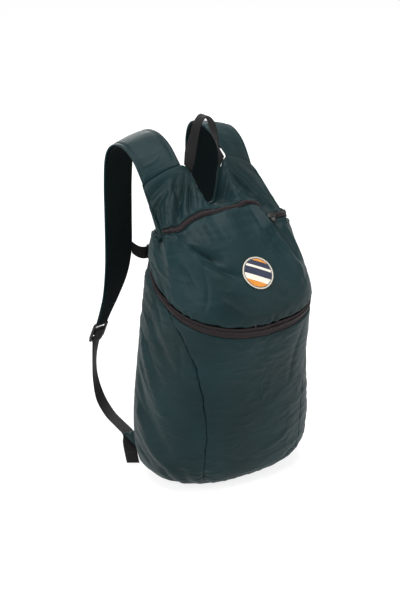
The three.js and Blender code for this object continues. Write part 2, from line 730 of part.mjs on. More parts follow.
// A slider on the coil with its pull tab hanging down the slope
function slider(levelAt, angle, tilt) {
  const frame = zipFrame(levelAt, angle, tilt);
  const seat = seatHeight(levelAt, angle, frame, SLIDER_WIDTH / 2 + 0.5, -SLIDER_WIDTH / 2 - 0.5) + SLIDER_CLEARANCE;
  const rest = seatHeight(levelAt, angle, frame, 0, -PULL_LENGTH) + SLIDER_CLEARANCE;
  const lift = Math.max(rest - seat - SLIDER_THICKNESS, 0);
  const body = plate(SLIDER_LENGTH, SLIDER_WIDTH, SLIDER_THICKNESS, seat, 2.5);
  const bridgeTop = seat + SLIDER_THICKNESS + PULL_THICKNESS;
  const bridge = plate(SLIDER_LENGTH / 2, SLIDER_WIDTH / 2, bridgeTop - seat, seat, 1.2);
  const pull = plate(PULL_WIDTH, PULL_LENGTH, PULL_THICKNESS, 0, 2, PULL_WIDTH / 2);
  pull.translate(0, -PULL_LENGTH / 2 + SLIDER_WIDTH / 3, 0).rotateX(-lift / PULL_LENGTH);
  pull.translate(0, 0, seat + SLIDER_THICKNESS - 0.2);
  const joined = manifold(body).add(manifold(bridge)).add(manifold(pull));
  return geometryOf(joined).applyMatrix4(frame);
}

// A band: a wall round a middle surface, from centres, half-width vectors and face normals
function band(rows, columns, thicknessAt) {
  const sheet = (way) =>
    rows.map((row) =>
      columns.map((across) => {
        const middle = row.middle ? row.middle(across) : row.centre.clone().addScaledVector(row.half, across);
        return middle.addScaledVector(row.face, (way * thicknessAt(across, row)) / 2);
      }),
    );
  return wall(sheet(1), sheet(-1));
}

// Face normals of the rows, from the half-width vectors and the run of the centres
function faceRows(rows, way) {
  rows.forEach((row, k) => {
    if (row.face) return;
    const before = rows[Math.max(k - 1, 0)].centre;
    const after = rows[Math.min(k + 1, rows.length - 1)].centre;
    row.face = after.clone().sub(before).cross(row.half).normalize().multiplyScalar(way);
  });
  return rows;
}

// Extra rows between the given ones, on a smooth curve
function refine(rows, count) {
  const at = (k, name) => rows[THREE.MathUtils.clamp(k, 0, rows.length - 1)][name];
  const fine = [];
  for (let k = 0; k < rows.length - 1; k += 1) {
    for (let j = 0; j < count; j += 1) {
      const blend = (name) => catmullRom(at(k - 1, name), at(k, name), at(k + 1, name), at(k + 2, name), j / count);
      fine.push({ centre: blend("centre"), half: blend("half") });
    }
  }
  fine.push({ centre: at(rows.length, "centre").clone(), half: at(rows.length, "half").clone() });
  return fine;
}

// Middle of the neckline between the front and back edges
function neckMiddle(angle) {
  return neckPoint(Math.sin(radians(angle)), Math.cos(radians(angle))).add(
    vector(0, EDGE_SPREAD * THREE.MathUtils.clamp(4 * Math.cos(radians(angle)), -1, 1), 0),
  );
}

function widthDirection(side, roll, yaw) {
  const flatness = Math.cos(radians(roll));
  return vector(
    -side * flatness * Math.cos(radians(yaw)),
    flatness * Math.sin(radians(yaw)),
    Math.sin(radians(roll)),
  );
}

// Centre line of a shoulder strap; half points to the inner edge
function strapRows(side) {
  const inner = neckMiddle(STRAP_ROOT_INNER);
  const outer = neckMiddle(STRAP_ROOT_OUTER);
  const root = inner.clone().add(outer).multiplyScalar(0.5);
  const rows = [{ centre: root, half: inner.clone().sub(outer).multiplyScalar(0.5) }];
  for (const row of STRAP_ROWS) {
    const centre = root.clone().add(vector(row.out * HALF_WIDTH, row.behind * STRAP_REACH, row.up * BODY_HEIGHT));
    const half = widthDirection(1, row.roll, row.yaw).multiplyScalar((row.width * STRAP_WIDTH) / 2);
    rows.push({ centre, half });
  }
  for (const row of rows) {
    row.centre.x *= side;
    row.half.x *= side;
  }
  return rows;
}

function neckRow(side) {
  const lift = vector(0, 0, ROOT_CLEARANCE);
  const middle = (across) => {
    const angle = lerp(STRAP_ROOT_OUTER, STRAP_ROOT_INNER, (across + 1) / 2);
    const point = neckMiddle(angle).add(lift);
    point.x *= side;
    return point;
  };
  return middle;
}

function shoulderStrap(side) {
  const rows = faceRows(refine(strapRows(side), 2), side);
  rows[0].middle = neckRow(side);
  rows[0].face = vector(0, -1, 0);
  const hem = (row) => 1 - STRAP_HEM / row.half.length();
  const sheet = (way) =>
    rows.map((row) =>
      [-1, -hem(row), -hem(row) / 3, hem(row) / 3, hem(row), 1].map((across) => {
        const thickness = row.middle || Math.abs(across) === 1 ? STRAP_EDGE : STRAP_THICKNESS;
        const middle = row.middle ? row.middle(across) : row.centre.clone().addScaledVector(row.half, across);
        return middle.addScaledVector(row.face, (way * thickness) / 2);
      }),
    );
  return wall(sheet(1), sheet(-1));
}

function strapLining(side) {
  const rows = faceRows(refine(strapRows(side), 2), side).slice(1);
  const sink = STRAP_THICKNESS / 2 + 1.5 * SEAM_GAP + LINING_THICKNESS / 2;
  for (const row of rows) {
    row.centre.addScaledVector(row.face, -sink);
    row.half.multiplyScalar(1 - STRAP_HEM / 2 / row.half.length());
  }
  return band(rows, [-1, 0, 1], () => LINING_THICKNESS);
}

// The lower end of a strap: where it stops, its width direction, its run and its outer face
function strapEnd(side) {
  const rows = faceRows(refine(strapRows(side), 2), side);
  const last = rows[rows.length - 1];
  const before = rows[rows.length - 2];
  const run = last.centre.clone().sub(before.centre).normalize();
  return { point: last.centre, across: last.half.clone().normalize(), run, face: last.face };
}

// A ladder lock: a frame with three bars and a thumb tab, below the end of its strap
function ladderLock(side) {
  const slot = (LOCK_HEIGHT - 3 * LOCK_BAR) / 2;
  const frame = plate(LOCK_WIDTH, LOCK_HEIGHT, LOCK_THICKNESS, -LOCK_THICKNESS / 2, 3);
  let body = manifold(frame);
  for (const way of [-1, 1]) {
    const cut = new THREE.BoxGeometry(LOCK_WIDTH - 2 * LOCK_SIDE, slot, 2 * LOCK_THICKNESS);
    cut.translate(0, (way * (slot + LOCK_BAR)) / 2, 0);
    body = body.subtract(manifold(cut));
  }
  const tab = plate(LOCK_WIDTH - 2 * LOCK_SIDE, LOCK_BAR * 2, LOCK_THICKNESS, -LOCK_THICKNESS / 2, 2);
  tab.translate(0, -LOCK_BAR / 2, 0).rotateX(radians(-LOCK_TAB_TILT)).translate(0, -LOCK_HEIGHT / 2, LOCK_THICKNESS / 5);
  body = body.add(manifold(tab));
  return geometryOf(body).applyMatrix4(lockFrame(side));
}

// Local axes of a ladder lock: across, up and out of its outer face
function lockFrame(side) {
  const end = strapEnd(side);
  const up = end.run.clone().negate();
  const across = end.across.clone().multiplyScalar(side);
  const out = across.clone().cross(up).normalize();
  const centre = end.point.clone().addScaledVector(end.run, LOCK_HEIGHT / 2 + SEAM_GAP);
  return new THREE.Matrix4().makeBasis(across, up, out).setPosition(centre);
}

// The spot behind the corner seam where webbing and side tab are sewn together
function tabTip(side) {
  const level = (TAB_LEVEL_LOW + TAB_LEVEL_HIGH) / 2;
  const seam = cloth(backSeamAngle(level), level);
  return vector(side * seam.x, seam.y + TAB_REACH, seam.z + TAB_RISE);
}

// Rows of the webbing from its free tip past the tab up to the ladder lock and round its bar
function webbingRows(side) {
  const lock = lockFrame(side);
  const across = strapEnd(side).across.multiplyScalar(WEBBING_WIDTH / 2);
  const inLock = (y, z) => ({ centre: vector(0, y, z).applyMatrix4(lock), half: across.clone() });
  const behind = -(LOCK_THICKNESS + WEBBING_THICKNESS) / 2 - 2 * SEAM_GAP;
  const halfAt = (yaw) => widthDirection(side, 0, yaw).multiplyScalar(WEBBING_WIDTH / 2);
  const tip = tabTip(side);
  const top = inLock(-LOCK_HEIGHT / 2, behind).centre;
  const tail = TAIL_ROWS.map((row) => ({
    centre: tip.clone().add(vector(side * row.out, -row.ahead, -row.down).multiplyScalar(TAIL_LENGTH)),
    half: halfAt(row.yaw),
  }));
  const rise = WEBBING_ROWS.map((row) => ({
    centre: vector(lerp(tip.x, top.x, row.along), lerp(tip.y, top.y, row.back), lerp(tip.z, top.z, row.up)),
    half: halfAt(row.yaw),
  }));
  const overBar = LOCK_BAR / 2 + 1.5 * WEBBING_THICKNESS;
  return [
    ...tail,
    { centre: tip, half: halfAt(-6) },
    ...rise,
    inLock(-LOCK_HEIGHT / 2, behind),
    inLock(LOCK_BAR / 2, behind),
    inLock(overBar, behind / 2),
    inLock(overBar, -behind / 2),
    inLock(LOCK_BAR / 2, -behind),
    inLock(-LOCK_HEIGHT / 3, -behind),
  ];
}

function lowerWebbing(side) {
  const rows = faceRows(refine(webbingRows(side), 2), side);
  const isFolded = (row) => rows.indexOf(row) < 3;
  return band(rows, [-1, 1], (_, row) => (isFolded(row) ? TAIL_LAYERS : 1) * WEBBING_THICKNESS);
}

// A cloth tab from the corner seam to the upper face of the webbing, twisted on the way
function sideTab(side) {
  const rows = faceRows(refine(webbingRows(side), 2), side);
  const seat = rows[2 * TAIL_ROWS.length];
  const off = (WEBBING_THICKNESS + TAB_THICKNESS) / 2 + SEAM_GAP;
  const tip = seat.centre.clone().addScaledVector(seat.face, seat.face.z > 0 ? off : -off);
  const onSeam = (across) => {
    const level = lerp(TAB_LEVEL_LOW, TAB_LEVEL_HIGH, (across + 1) / 2);
    const point = cloth(backSeamAngle(level), level, -TAB_THICKNESS);
    point.x *= side;
    return point;
  };
  const low = onSeam(-1);
  const high = onSeam(1);
  const root = { centre: low.clone().add(high).multiplyScalar(0.5), half: high.clone().sub(low).multiplyScalar(0.5) };
  const end = { centre: tip, half: seat.half.clone() };
  const tab = faceRows(refine([root, end], 3), 1);
  tab[0].middle = onSeam;
  return band(tab, [-1, -0.5, 0, 0.5, 1], () => TAB_THICKNESS);
}

// The grab loop: sewn to the inner tips of the shoulders, twisted so that it stands on edge
function grabLoop() {
  const root = (way) => {
    const low = neckMiddle(way * LOOP_ROOT_LOW);
    const high = neckMiddle(way * LOOP_ROOT_HIGH);
    const half = high.clone().sub(low).multiplyScalar(0.5);
    const inward = vector(-way * half.z, 0, Math.abs(half.x)).normalize();
    return { low, high, half, centre: low.clone().add(high).multiplyScalar(0.5), inward };
  };
  const left = root(-1);
  const right = root(1);
  const crest = vector(0, left.centre.y, left.centre.z + LOOP_HEIGHT);
  const leg = (end, share, bulge, twist) => {
    const centre = end.centre.clone().lerp(crest, share);
    centre.x += Math.sign(end.centre.x) * bulge;
    const half = end.half.clone().lerp(vector(0, WEBBING_WIDTH / 2, 0), twist).setLength(WEBBING_WIDTH / 2);
    return { centre, half };
  };
  const start = (end) => ({
    centre: end.centre
      .clone()
      .addScaledVector(end.inward, 2 * SEAM_GAP + WEBBING_THICKNESS / 2)
      .add(vector(0, FABRIC / 2 - EDGE_SPREAD, 0)),
    half: end.half.clone().setLength(WEBBING_WIDTH / 2),
  });
  const rows = [
    start(left),
    leg(left, 0.3, 1, 0.5),
    leg(left, 0.62, 2, 0.9),
    leg(left, 0.9, 3, 1),
    { centre: crest.clone(), half: vector(0, WEBBING_WIDTH / 2, 0) },
    leg(right, 0.9, 3, 1),
    leg(right, 0.62, 2, 0.9),
    leg(right, 0.3, 1, 0.5),
    start(right),
  ];
  return band(faceRows(refine(rows, 2), 1), [-1, 1], () => WEBBING_THICKNESS);
}

// A bound edge over the U of the neckline
function neckBinding() {
  const rows = [-14.5, -14, -12, -8, -4, 0, 4, 8, 12, 14, 14.5].map((angle) => {
    const before = neckMiddle(angle - NUDGE_ANGLE);
    const after = neckMiddle(angle + NUDGE_ANGLE);
    const face = vector(0, 1, 0).cross(after.sub(before)).normalize();
    if (face.z < 0) face.negate();
    const centre = neckMiddle(angle).addScaledVector(face, 2 * SEAM_GAP + BINDING_THICKNESS / 2);
    return { centre, half: vector(0, BINDING_WIDTH / 2, 0), face };
  });
  return band(rows, [-1, 0, 1], () => BINDING_THICKNESS);
}

// The chest strap: webbing from the inner edge of each strap to a plain clasp in the middle
function sternumEnd(side) {
  const row = strapRows(side)[STERNUM_ROW];
  return row.centre.clone().addScaledVector(row.half, 1 + (2 * SEAM_GAP) / row.half.length());
}

function sternumMiddle() {
  const end = sternumEnd(1);
  return vector(0, end.y + STERNUM_SAG / 4, end.z - STERNUM_SAG);
}

function sternumWebbing(side) {
  const from = sternumEnd(side);
  const to = sternumMiddle().add(vector(side * (CLASP_LENGTH / 2 + SEAM_GAP), 0, 0));
  const half = vector(0, 0, WEBBING_WIDTH / 2);
  const rows = steps(6).map((share) => {
    const centre = from.clone().lerp(to, share);
    centre.z = lerp(from.z, to.z, share * (2 - share));
    return { centre, half: half.clone() };
  });
  return band(faceRows(rows, 1), [-1, 1], () => WEBBING_THICKNESS);
}

function sternumClasp() {
  const clasp = plate(CLASP_LENGTH, WEBBING_WIDTH + 5, CLASP_THICKNESS, -CLASP_THICKNESS / 2, 4);
  return clasp.rotateX(Math.PI / 2).translate(...sternumMiddle().toArray());
}

// Finishes
const finish = (color, roughness, metalness = 0) => ({ color, roughness, metalness });
const NYLON = finish(0x2f4345, 0.55);
const MESH_LINING = finish(0x0c1718, 0.9);
const WEBBING = finish(0x232123, 0.85);
const ZIP_COIL = finish(0x33292b, 0.5);
const PLASTIC = finish(0x161718, 0.4);
const PATCH = finish(0xe6dccf, 0.8);

const backpack = new THREE.Group();

function add(name, geometry, look) {
  const mesh = new THREE.Mesh(geometry, new THREE.MeshStandardMaterial(look));
  mesh.name = name;
  backpack.add(mesh);
}

add("base_panel", basePanel(), NYLON);
add("front_lower_panel", panel(FRONT_COLUMNS, WALL_ROWS, frontSpot), NYLON);
add("upper_front_panel", upperFrontPanel(), NYLON);
add("back_panel", panel(BACK_COLUMNS, BACK_ROWS, backSpot), NYLON);
add("lower_zip", lowerZip(), ZIP_COIL);
add("upper_zip", upperZip(), ZIP_COIL);
add("lower_zip_slider", slider(lowerZipLevel, 84, radians(20)), PLASTIC);
add("upper_zip_slider", slider(upperZipLevel, 40, radians(-12)), PLASTIC);
add("round_patch", roundPatch(), PATCH);
add("neck_binding", neckBinding(), NYLON);
add("grab_loop", grabLoop(), WEBBING);
add("sternum_clasp", sternumClasp(), PLASTIC);
for (const [name, side] of [["left", -1], ["right", 1]]) {
  add(`side_panel_${name}`, sidePanel(side), NYLON);
  add(`shoulder_strap_${name}`, shoulderStrap(side), NYLON);
  add(`strap_lining_${name}`, strapLining(side), MESH_LINING);
  add(`ladder_lock_${name}`, ladderLock(side), PLASTIC);
  add(`side_tab_${name}`, sideTab(side), NYLON);
  add(`lower_webbing_${name}`, lowerWebbing(side), WEBBING);
  add(`sternum_webbing_${name}`, sternumWebbing(side), WEBBING);
}

export default backpack;
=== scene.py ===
"""A packable nylon backpack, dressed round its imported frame.

Metres in Blender, millimetres in the tables and functions of the skin. The front faces -Y.
The skin is read by an angle, in degrees round the bag from the middle of the front, and a
level, one whole number for each row of BODY_ROWS and TOP_LEVEL at the neckline.
"""
import math

import bmesh
import bpy
import numpy as np
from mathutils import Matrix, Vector


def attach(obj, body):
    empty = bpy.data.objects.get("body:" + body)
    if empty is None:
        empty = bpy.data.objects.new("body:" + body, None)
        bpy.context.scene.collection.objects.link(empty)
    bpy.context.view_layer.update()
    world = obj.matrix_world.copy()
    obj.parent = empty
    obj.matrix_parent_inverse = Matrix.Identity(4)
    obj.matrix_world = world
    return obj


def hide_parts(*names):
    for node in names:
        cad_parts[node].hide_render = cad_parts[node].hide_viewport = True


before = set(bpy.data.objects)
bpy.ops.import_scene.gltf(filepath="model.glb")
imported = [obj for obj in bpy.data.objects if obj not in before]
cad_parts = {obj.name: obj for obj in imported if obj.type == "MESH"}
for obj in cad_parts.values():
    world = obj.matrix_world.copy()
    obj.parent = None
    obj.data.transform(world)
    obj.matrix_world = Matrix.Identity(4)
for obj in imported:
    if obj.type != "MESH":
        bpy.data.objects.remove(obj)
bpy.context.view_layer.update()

MM = 0.001

# Sizes of the bag in millimetres, the same as in the part's source
BODY_HEIGHT = 500
HALF_WIDTH = 146
FRONT_DEPTH = 124
BACK_DEPTH = 92
NECK_HALF_WIDTH = 102
FABRIC = 1.5
SEAM_GAP = 0.3
NECK_CLEARANCE = 1.8
EDGE_SPREAD = 2.5
FOLD_DEPTH = 7
FOLD_WIDTH = 15
FLAT_RADIUS = 0.86
LOWER_ZIP_WIDTH = 19
LOWER_ZIP_END = 0.45
UPPER_ZIP_WIDTH = 10
UPPER_ZIP_END = 76
BASE_SEAM_LEVEL = 0.55
PATCH_ANGLE = -3.5
PATCH_LEVEL = 7.03
PATCH_RADIUS = 26
STRAP_WIDTH = 64
STRAP_THICKNESS = 5
STRAP_HEM = 6
STRAP_REACH = 110
STRAP_ROOT_INNER = 24
STRAP_ROOT_OUTER = 76
ROOT_CLEARANCE = 1.2
WEBBING_WIDTH = 20
WEBBING_THICKNESS = 1.5
LOCK_HEIGHT = 30
LOCK_THICKNESS = 3.4
LOCK_BAR = 4.2
TAIL_LENGTH = 48
TAIL_LAYERS = 2.8
TAB_THICKNESS = 2
TAB_LEVEL_LOW = 1.4
TAB_LEVEL_HIGH = 2.35
TAB_REACH = 30
TAB_RISE = 5
LOOP_HEIGHT = 78
LOOP_ROOT_LOW = 15.5
LOOP_ROOT_HIGH = 21

# The dressed patch: how much smaller it is than its solid, the radius of its overlocked rim,
# where the navy ring begins, the heights of its face and underside, and the rim's middle and rise
PATCH_SHRINK = 1.0
PATCH_RIM = 1.15
PATCH_RING = 21.8
PATCH_FACE_TOP = 1.7
PATCH_FACE_UNDER = 0.6
PATCH_RIM_MIDDLE = 1.55
PATCH_RIM_RISE = 0.9

# Level curves: heights at the front, side and back as shares of BODY_HEIGHT, the width of
# HALF_WIDTH, the front and back depths of theirs, and how square the front and back corners are
BODY_ROWS = np.array([
    (0.0, 0.0, 0.0, 0.66, 0.5, 0.66, 2.4, 2.5),
    (0.03, 0.03, 0.03, 0.86, 0.7, 0.87, 2.4, 2.6),
    (0.085, 0.085, 0.085, 0.945, 0.79, 0.97, 2.5, 2.7),
    (0.2, 0.2, 0.2, 0.955, 0.85, 0.98, 2.5, 2.8),
    (0.35, 0.35, 0.35, 0.915, 0.89, 0.95, 2.5, 2.8),
    (0.495, 0.505, 0.5, 0.865, 1.0, 0.88, 2.65, 2.8),
    (0.6, 0.615, 0.6, 0.835, 1.06, 0.8, 2.75, 2.8),
    (0.7, 0.715, 0.7, 0.8, 0.85, 0.72, 2.3, 2.7),
    (0.79, 0.8, 0.775, 0.775, 0.49, 0.62, 2.1, 2.5),
    (0.856, 0.805, 0.82, 0.755, 0.15, 0.52, 2.0, 2.2),
])
TOP_LEVEL = len(BODY_ROWS)

# The neckline by its share of the way across: height and how far behind.
# The bottom of its dip is a little rounder than in the part's source.
NECK_HEIGHT = (
    (0.0, 0.834), (0.1, 0.837), (0.17, 0.852), (0.22, 0.886), (0.265, 0.938), (0.33, 0.962),
    (0.41, 0.969), (0.6, 0.958), (0.8, 0.939), (0.96, 0.919), (1.0, 0.903),
)
NECK_BEHIND = (
    (0.0, 0.391), (0.1, 0.402), (0.17, 0.425), (0.22, 0.441), (0.265, 0.455), (0.33, 0.475),
    (0.41, 0.5), (0.6, 0.565), (0.8, 0.62), (0.96, 0.652), (1.0, 0.54),
)

# Zips by angle, seams by level
LOWER_ZIP = ((0, 5.36), (20, 5.4), (40, 5.51), (60, 5.69), (80, 5.98), (100, 6.46), (126, 7.2))
UPPER_ZIP = (
    (-76, 9.03), (-55, 8.93), (-28, 9.03), (0, 9.0), (17, 9.03), (30, 8.72), (47, 8.35), (76, 8.1),
)
FRONT_SEAM = (
    (0.5, 38), (2.0, 37), (3.0, 36.5), (3.75, 40), (4.4, 46.5), (5.0, 57), (5.5, 69), (6.0, 82),
)
BACK_SEAM = ((0, 131), (3, 130), (7.3, 124), (10, 108))

# Main folds, as in the part's source: from (angle, level) to (angle, level), height and width
FOLDS = (
    (-33, 9.65, -48, 9.15, -0.75, 0.6),
    (-24, 9.6, -31, 9.2, -0.6, 0.55),
    (-42, 9.6, -60, 9.0, 0.5, 0.7),
    (24, 9.6, 38, 8.9, -0.8, 0.6),
    (33, 9.6, 52, 8.9, 0.45, 0.6),
    (-80, 9.3, -88, 8.3, -1.0, 0.9),
    (-73, 8.3, -70, 7.0, 0.7, 0.9),
    (17, 9.0, 25, 8.0, 0.7, 0.6),
    (25, 8.0, 37, 6.7, 0.6, 0.7),
    (34, 7.9, 42, 7.1, -0.5, 0.6),
    (-46, 7.75, -27, 7.45, -0.55, 0.5),
    (-40, 7.4, -19, 7.0, -0.4, 0.5),
    (-104, 4.6, -70, 3.5, 0.5, 0.7),
    (-108, 3.9, -66, 2.6, -0.5, 0.7),
    (-104, 3.2, -62, 2.0, 0.5, 0.7),
    (-92, 5.2, -66, 4.4, -0.4, 0.6),
    (104, 4.6, 74, 3.6, 0.4, 0.7),
    (100, 3.4, 60, 2.4, -0.45, 0.7),
    (58, 4.6, 44, 3.9, -0.4, 0.6),
    (-52, 1.9, -48, 0.8, -0.5, 0.5),
    (-36, 1.7, -36, 0.7, -0.5, 0.45),
    (-68, 1.8, -62, 0.8, -0.45, 0.5),
    (30, 1.5, 28, 0.7, -0.5, 0.45),
)
FOLDS_FADE = 0.5  # levels below the neckline over which the folds die out
ZIP_DIP = 2.6
ZIP_DIP_WIDTH = 13

# Fine creases of the cloth: points (angle, level) along each, its height and width in millimetres.
# The heights are multiplied by CREASE_STRENGTH.
CREASE_STRENGTH = 1.9
CREASES = (
    # the taut fan from the upper zip down to the right
    (((17.5, 9.03), (22, 8.65), (24.5, 8.03), (28, 7.53), (33.5, 7.05), (38, 6.65)), 2.6, 2.4),
    (((22, 8.28), (25.5, 7.78), (31, 7.35), (35.5, 6.85), (36, 6.35)), -2.2, 3),
    (((14, 8.85), (17, 8.3), (22, 7.7), (27, 7.2)), -1.6, 3),
    (((28, 8.6), (33, 8.1), (40, 7.5), (45, 7.0)), 1.8, 3),
    (((42, 8.3), (47, 7.7), (52, 7.1), (55, 6.5)), 1.2, 5),
    # slanting creases of the pocket
    (((-50, 7.95), (-38, 7.62), (-26, 7.4)), -3.2, 2.3),
    (((-44, 7.5), (-30, 7.22), (-17, 6.98)), -2.4, 2.3),
    (((-40, 7.78), (-33, 7.5), (-27, 7.12)), -1.8, 2.3),
    (((-52, 8.3), (-44, 8.05), (-36, 7.95)), -1.8, 3),
    (((-30, 8.6), (-18, 8.35), (-6, 8.3)), -1.2, 4),
    (((-62, 7.3), (-56, 6.9), (-52, 6.5)), -1.8, 3.5),
    (((-36, 6.5), (-28, 6.2), (-22, 6.1)), 1.4, 4),
    (((8, 6.6), (16, 6.3), (24, 6.2)), -1.0, 4),
    (((-58.5, 8.7), (-53, 8.2), (-48, 7.88)), -1.5, 5),
    (((-75.5, 7.93), (-72, 7.5), (-70, 7.08)), 1.5, 5),
    # the curved line of the inner pocket
    (((-45.5, 7.4), (-43, 7.08), (-43, 6.68), (-45, 6.33), (-48, 5.98)), -1.0, 2.5),
    # gathers that fan out from the inner tips of the shoulders
    (((-22, 9.88), (-30, 9.62), (-41, 9.3)), -3.0, 2.6),
    (((-20, 9.72), (-26, 9.48), (-33, 9.2)), -2.8, 2.6),
    (((-35, 9.84), (-39, 9.5), (-44, 9.1)), -3.0, 4),
    (((-18, 9.55), (-20.5, 9.35), (-25, 9.14)), -1.6, 2.5),
    (((-27, 9.9), (-40, 9.66), (-54, 9.36)), -1.9, 3.5),
    (((-16, 9.4), (-17, 9.28), (-19, 9.12)), -1.3, 2.5),
    (((19, 9.82), (25, 9.6), (35, 9.25)), -2.5, 3),
    (((22, 9.88), (32, 9.62), (45, 9.2)), -2.4, 3),
    (((26, 9.92), (40, 9.66), (57, 9.15)), -2.1, 3.5),
    (((17, 9.6), (21, 9.4), (27, 9.12)), -1.8, 2.5),
    (((15.5, 9.42), (18, 9.28), (21, 9.12)), -1.4, 2.5),
    # the slack band below the seams of the straps
    (((-34, 9.88), (-55, 9.82), (-80, 9.74)), -4.6, 6),
    (((-40, 9.72), (-60, 9.6), (-86, 9.45)), -3.0, 5),
    (((38, 9.9), (55, 9.86), (80, 9.78)), -1.6, 6),
    (((-62, 9.6), (-70, 9.3), (-76, 9.0)), -1.8, 4),
    (((-50, 9.6), (-58, 9.35), (-66, 9.1)), 1.4, 4),
    (((62, 9.5), (70, 9.1), (76, 8.7)), -1.6, 4),
    # slanting wrinkles of the left side panel
    (((-118, 5.6), (-100, 5.2), (-84, 4.9)), 1.1, 5),
    (((-116, 5.0), (-98, 4.65), (-78, 4.2)), -1.3, 5),
    (((-112, 4.3), (-92, 3.9), (-72, 3.4)), 1.3, 6),
    (((-116, 3.7), (-96, 3.3), (-76, 2.9)), -1.3, 6),
    (((-110, 3.0), (-88, 2.6), (-70, 2.2)), 1.2, 6),
    (((-118, 2.5), (-100, 2.2), (-82, 1.8)), -1.2, 5),
    (((-92, 6.1), (-84, 5.6), (-78, 5.2)), -1.2, 5),
    (((-64, 5.3), (-60, 4.7), (-57, 4.2)), -1.2, 4),
    (((-84, 6.6), (-78, 6.1), (-74, 5.85)), -1.4, 4),
    (((-98, 7.4), (-88, 7.0), (-78, 6.7)), 1.4, 5),
    (((-100, 8.2), (-92, 7.7), (-82, 7.4)), -1.5, 5),
    # and of the right one
    (((118, 5.4), (100, 5.0), (84, 4.6)), 1.1, 5),
    (((116, 4.6), (98, 4.2), (78, 3.8)), -1.3, 5),
    (((112, 3.7), (92, 3.3), (72, 2.9)), 1.2, 6),
    (((114, 2.9), (96, 2.5), (76, 2.2)), -1.2, 6),
    (((70, 5.4), (66, 4.8), (60, 4.2)), -1.2, 5),
    # the front wall below the lower zip
    (((-34, 5.1), (-24, 4.6), (-12, 4.2)), -0.9, 6),
    (((34, 5.2), (27, 4.6), (22, 3.8)), -1.1, 5),
    (((30, 2.9), (18, 2.5), (4, 2.3)), 0.9, 6),
    (((-30, 2.6), (-18, 2.2), (-6, 2.1)), -0.9, 6),
)
CREASE_TIP = 0.02  # share of a crease at each end where it doesn't get any lower
CREASE_SWELL = 0.7

# Ripples all over the cloth: seed, length, width and height of each layer in millimetres
RIPPLES = ((3, 74, 24, 1.3), (5, 50, 14, 1.2), (8, 30, 8, 0.7))
RIPPLE_LEAN = 0.22  # how steeply they run down and outwards
RIPPLE_BEND = 0.5
CALM_SIZE = 85  # size of the stretches with few ripples
CALM_SEED = 14

# Where the fine relief dies out: levels below the neckline, and above the base
FINE_FADE_NECK = 0.25
FINE_START_BASE = 0.3
FINE_FADE_BASE = 0.5
# and millimetres off the patch
FINE_START_PATCH = 4
FINE_FADE_PATCH = 14


# Curves and points of the skin


def smooth_table(rows, x):
    """Smooth curve through the rows of a table, without overshoot."""
    keys, values = np.array(rows, float).T
    slopes = np.diff(values) / np.diff(keys)
    product = slopes[:-1] * slopes[1:]
    total = np.where(slopes[:-1] + slopes[1:] == 0, 1, slopes[:-1] + slopes[1:])
    middle = np.where(product > 0, 2 * product / total, 0)
    tangents = np.concatenate([slopes[:1], middle, slopes[-1:]])
    x = np.clip(x, keys[0], keys[-1])
    i = np.clip(np.searchsorted(keys, x, side="left") - 1, 0, len(keys) - 2)
    step = keys[i + 1] - keys[i]
    u = (x - keys[i]) / step
    blend = values[i] * (2 * u**3 - 3 * u**2 + 1) + values[i + 1] * (3 * u**2 - 2 * u**3)
    return blend + step * (tangents[i] * (u**3 - 2 * u**2 + u) + tangents[i + 1] * (u**3 - u**2))


def catmull_rom(before, start, end, after, u):
    """Point at the share u of the way from start to end, on a curve through all four."""
    return 0.5 * (
        2 * start
        + (end - before) * u
        + (2 * before - 5 * start + 4 * end - after) * u**2
        + (3 * start - 3 * end - before + after) * u**3
    )


def unit(vectors):
    length = np.linalg.norm(vectors, axis=-1, keepdims=True)
    return vectors / np.where(length == 0, 1, length)


def neck_spread(ahead):
    """How far an edge of the neckline lies ahead of its middle."""
    return EDGE_SPREAD * np.clip(4 * ahead, -1, 1)


def neck_point(side, ahead):
    """Point of the neckline, its front edge ahead of the middle and its back edge behind."""
    across = np.abs(side)
    return np.stack([
        NECK_HALF_WIDTH * side,
        BACK_DEPTH * smooth_table(NECK_BEHIND, across) - neck_spread(ahead),
        BODY_HEIGHT * smooth_table(NECK_HEIGHT, across),
    ], axis=-1)


def row_point(row, angle):
    """Point of one level curve."""
    side = np.sin(np.radians(angle))
    ahead = np.cos(np.radians(angle))
    column = np.moveaxis(BODY_ROWS[np.clip(row, 0, TOP_LEVEL - 1)], -1, 0)
    z_front, z_side, z_back, width, front, back, square_front, square_back = column
    is_front = ahead > 0
    square = np.where(is_front, square_front, square_back)
    reach = (np.abs(side) ** square + np.abs(ahead) ** square) ** (-1 / square)
    depth = np.where(is_front, front * FRONT_DEPTH, back * BACK_DEPTH)
    rise = np.where(is_front, z_front, z_back) - z_side
    body = np.stack([
        width * HALF_WIDTH * side * reach,
        -depth * ahead * reach,
        BODY_HEIGHT * (z_side + rise * ahead**2),
    ], axis=-1)
    return np.where((row == TOP_LEVEL)[..., None], neck_point(side, ahead), body)


def skin(angle, level):
    """Point of the smooth skin in millimetres."""
    angle, level = np.broadcast_arrays(np.asarray(angle, float), np.asarray(level, float))
    row = np.clip(np.floor(level), 0, TOP_LEVEL - 1).astype(int)
    start = row_point(row, angle)
    end = row_point(row + 1, angle)
    before = np.where((row > 0)[..., None], row_point(np.maximum(row - 1, 0), angle), 2 * start - end)
    after = row_point(np.minimum(row + 2, TOP_LEVEL), angle)
    after = np.where((row + 2 <= TOP_LEVEL)[..., None], after, 2 * end - start)
    return catmull_rom(before, start, end, after, (level - row)[..., None])


NUDGE_ANGLE = 0.5
NUDGE_LEVEL = 0.02


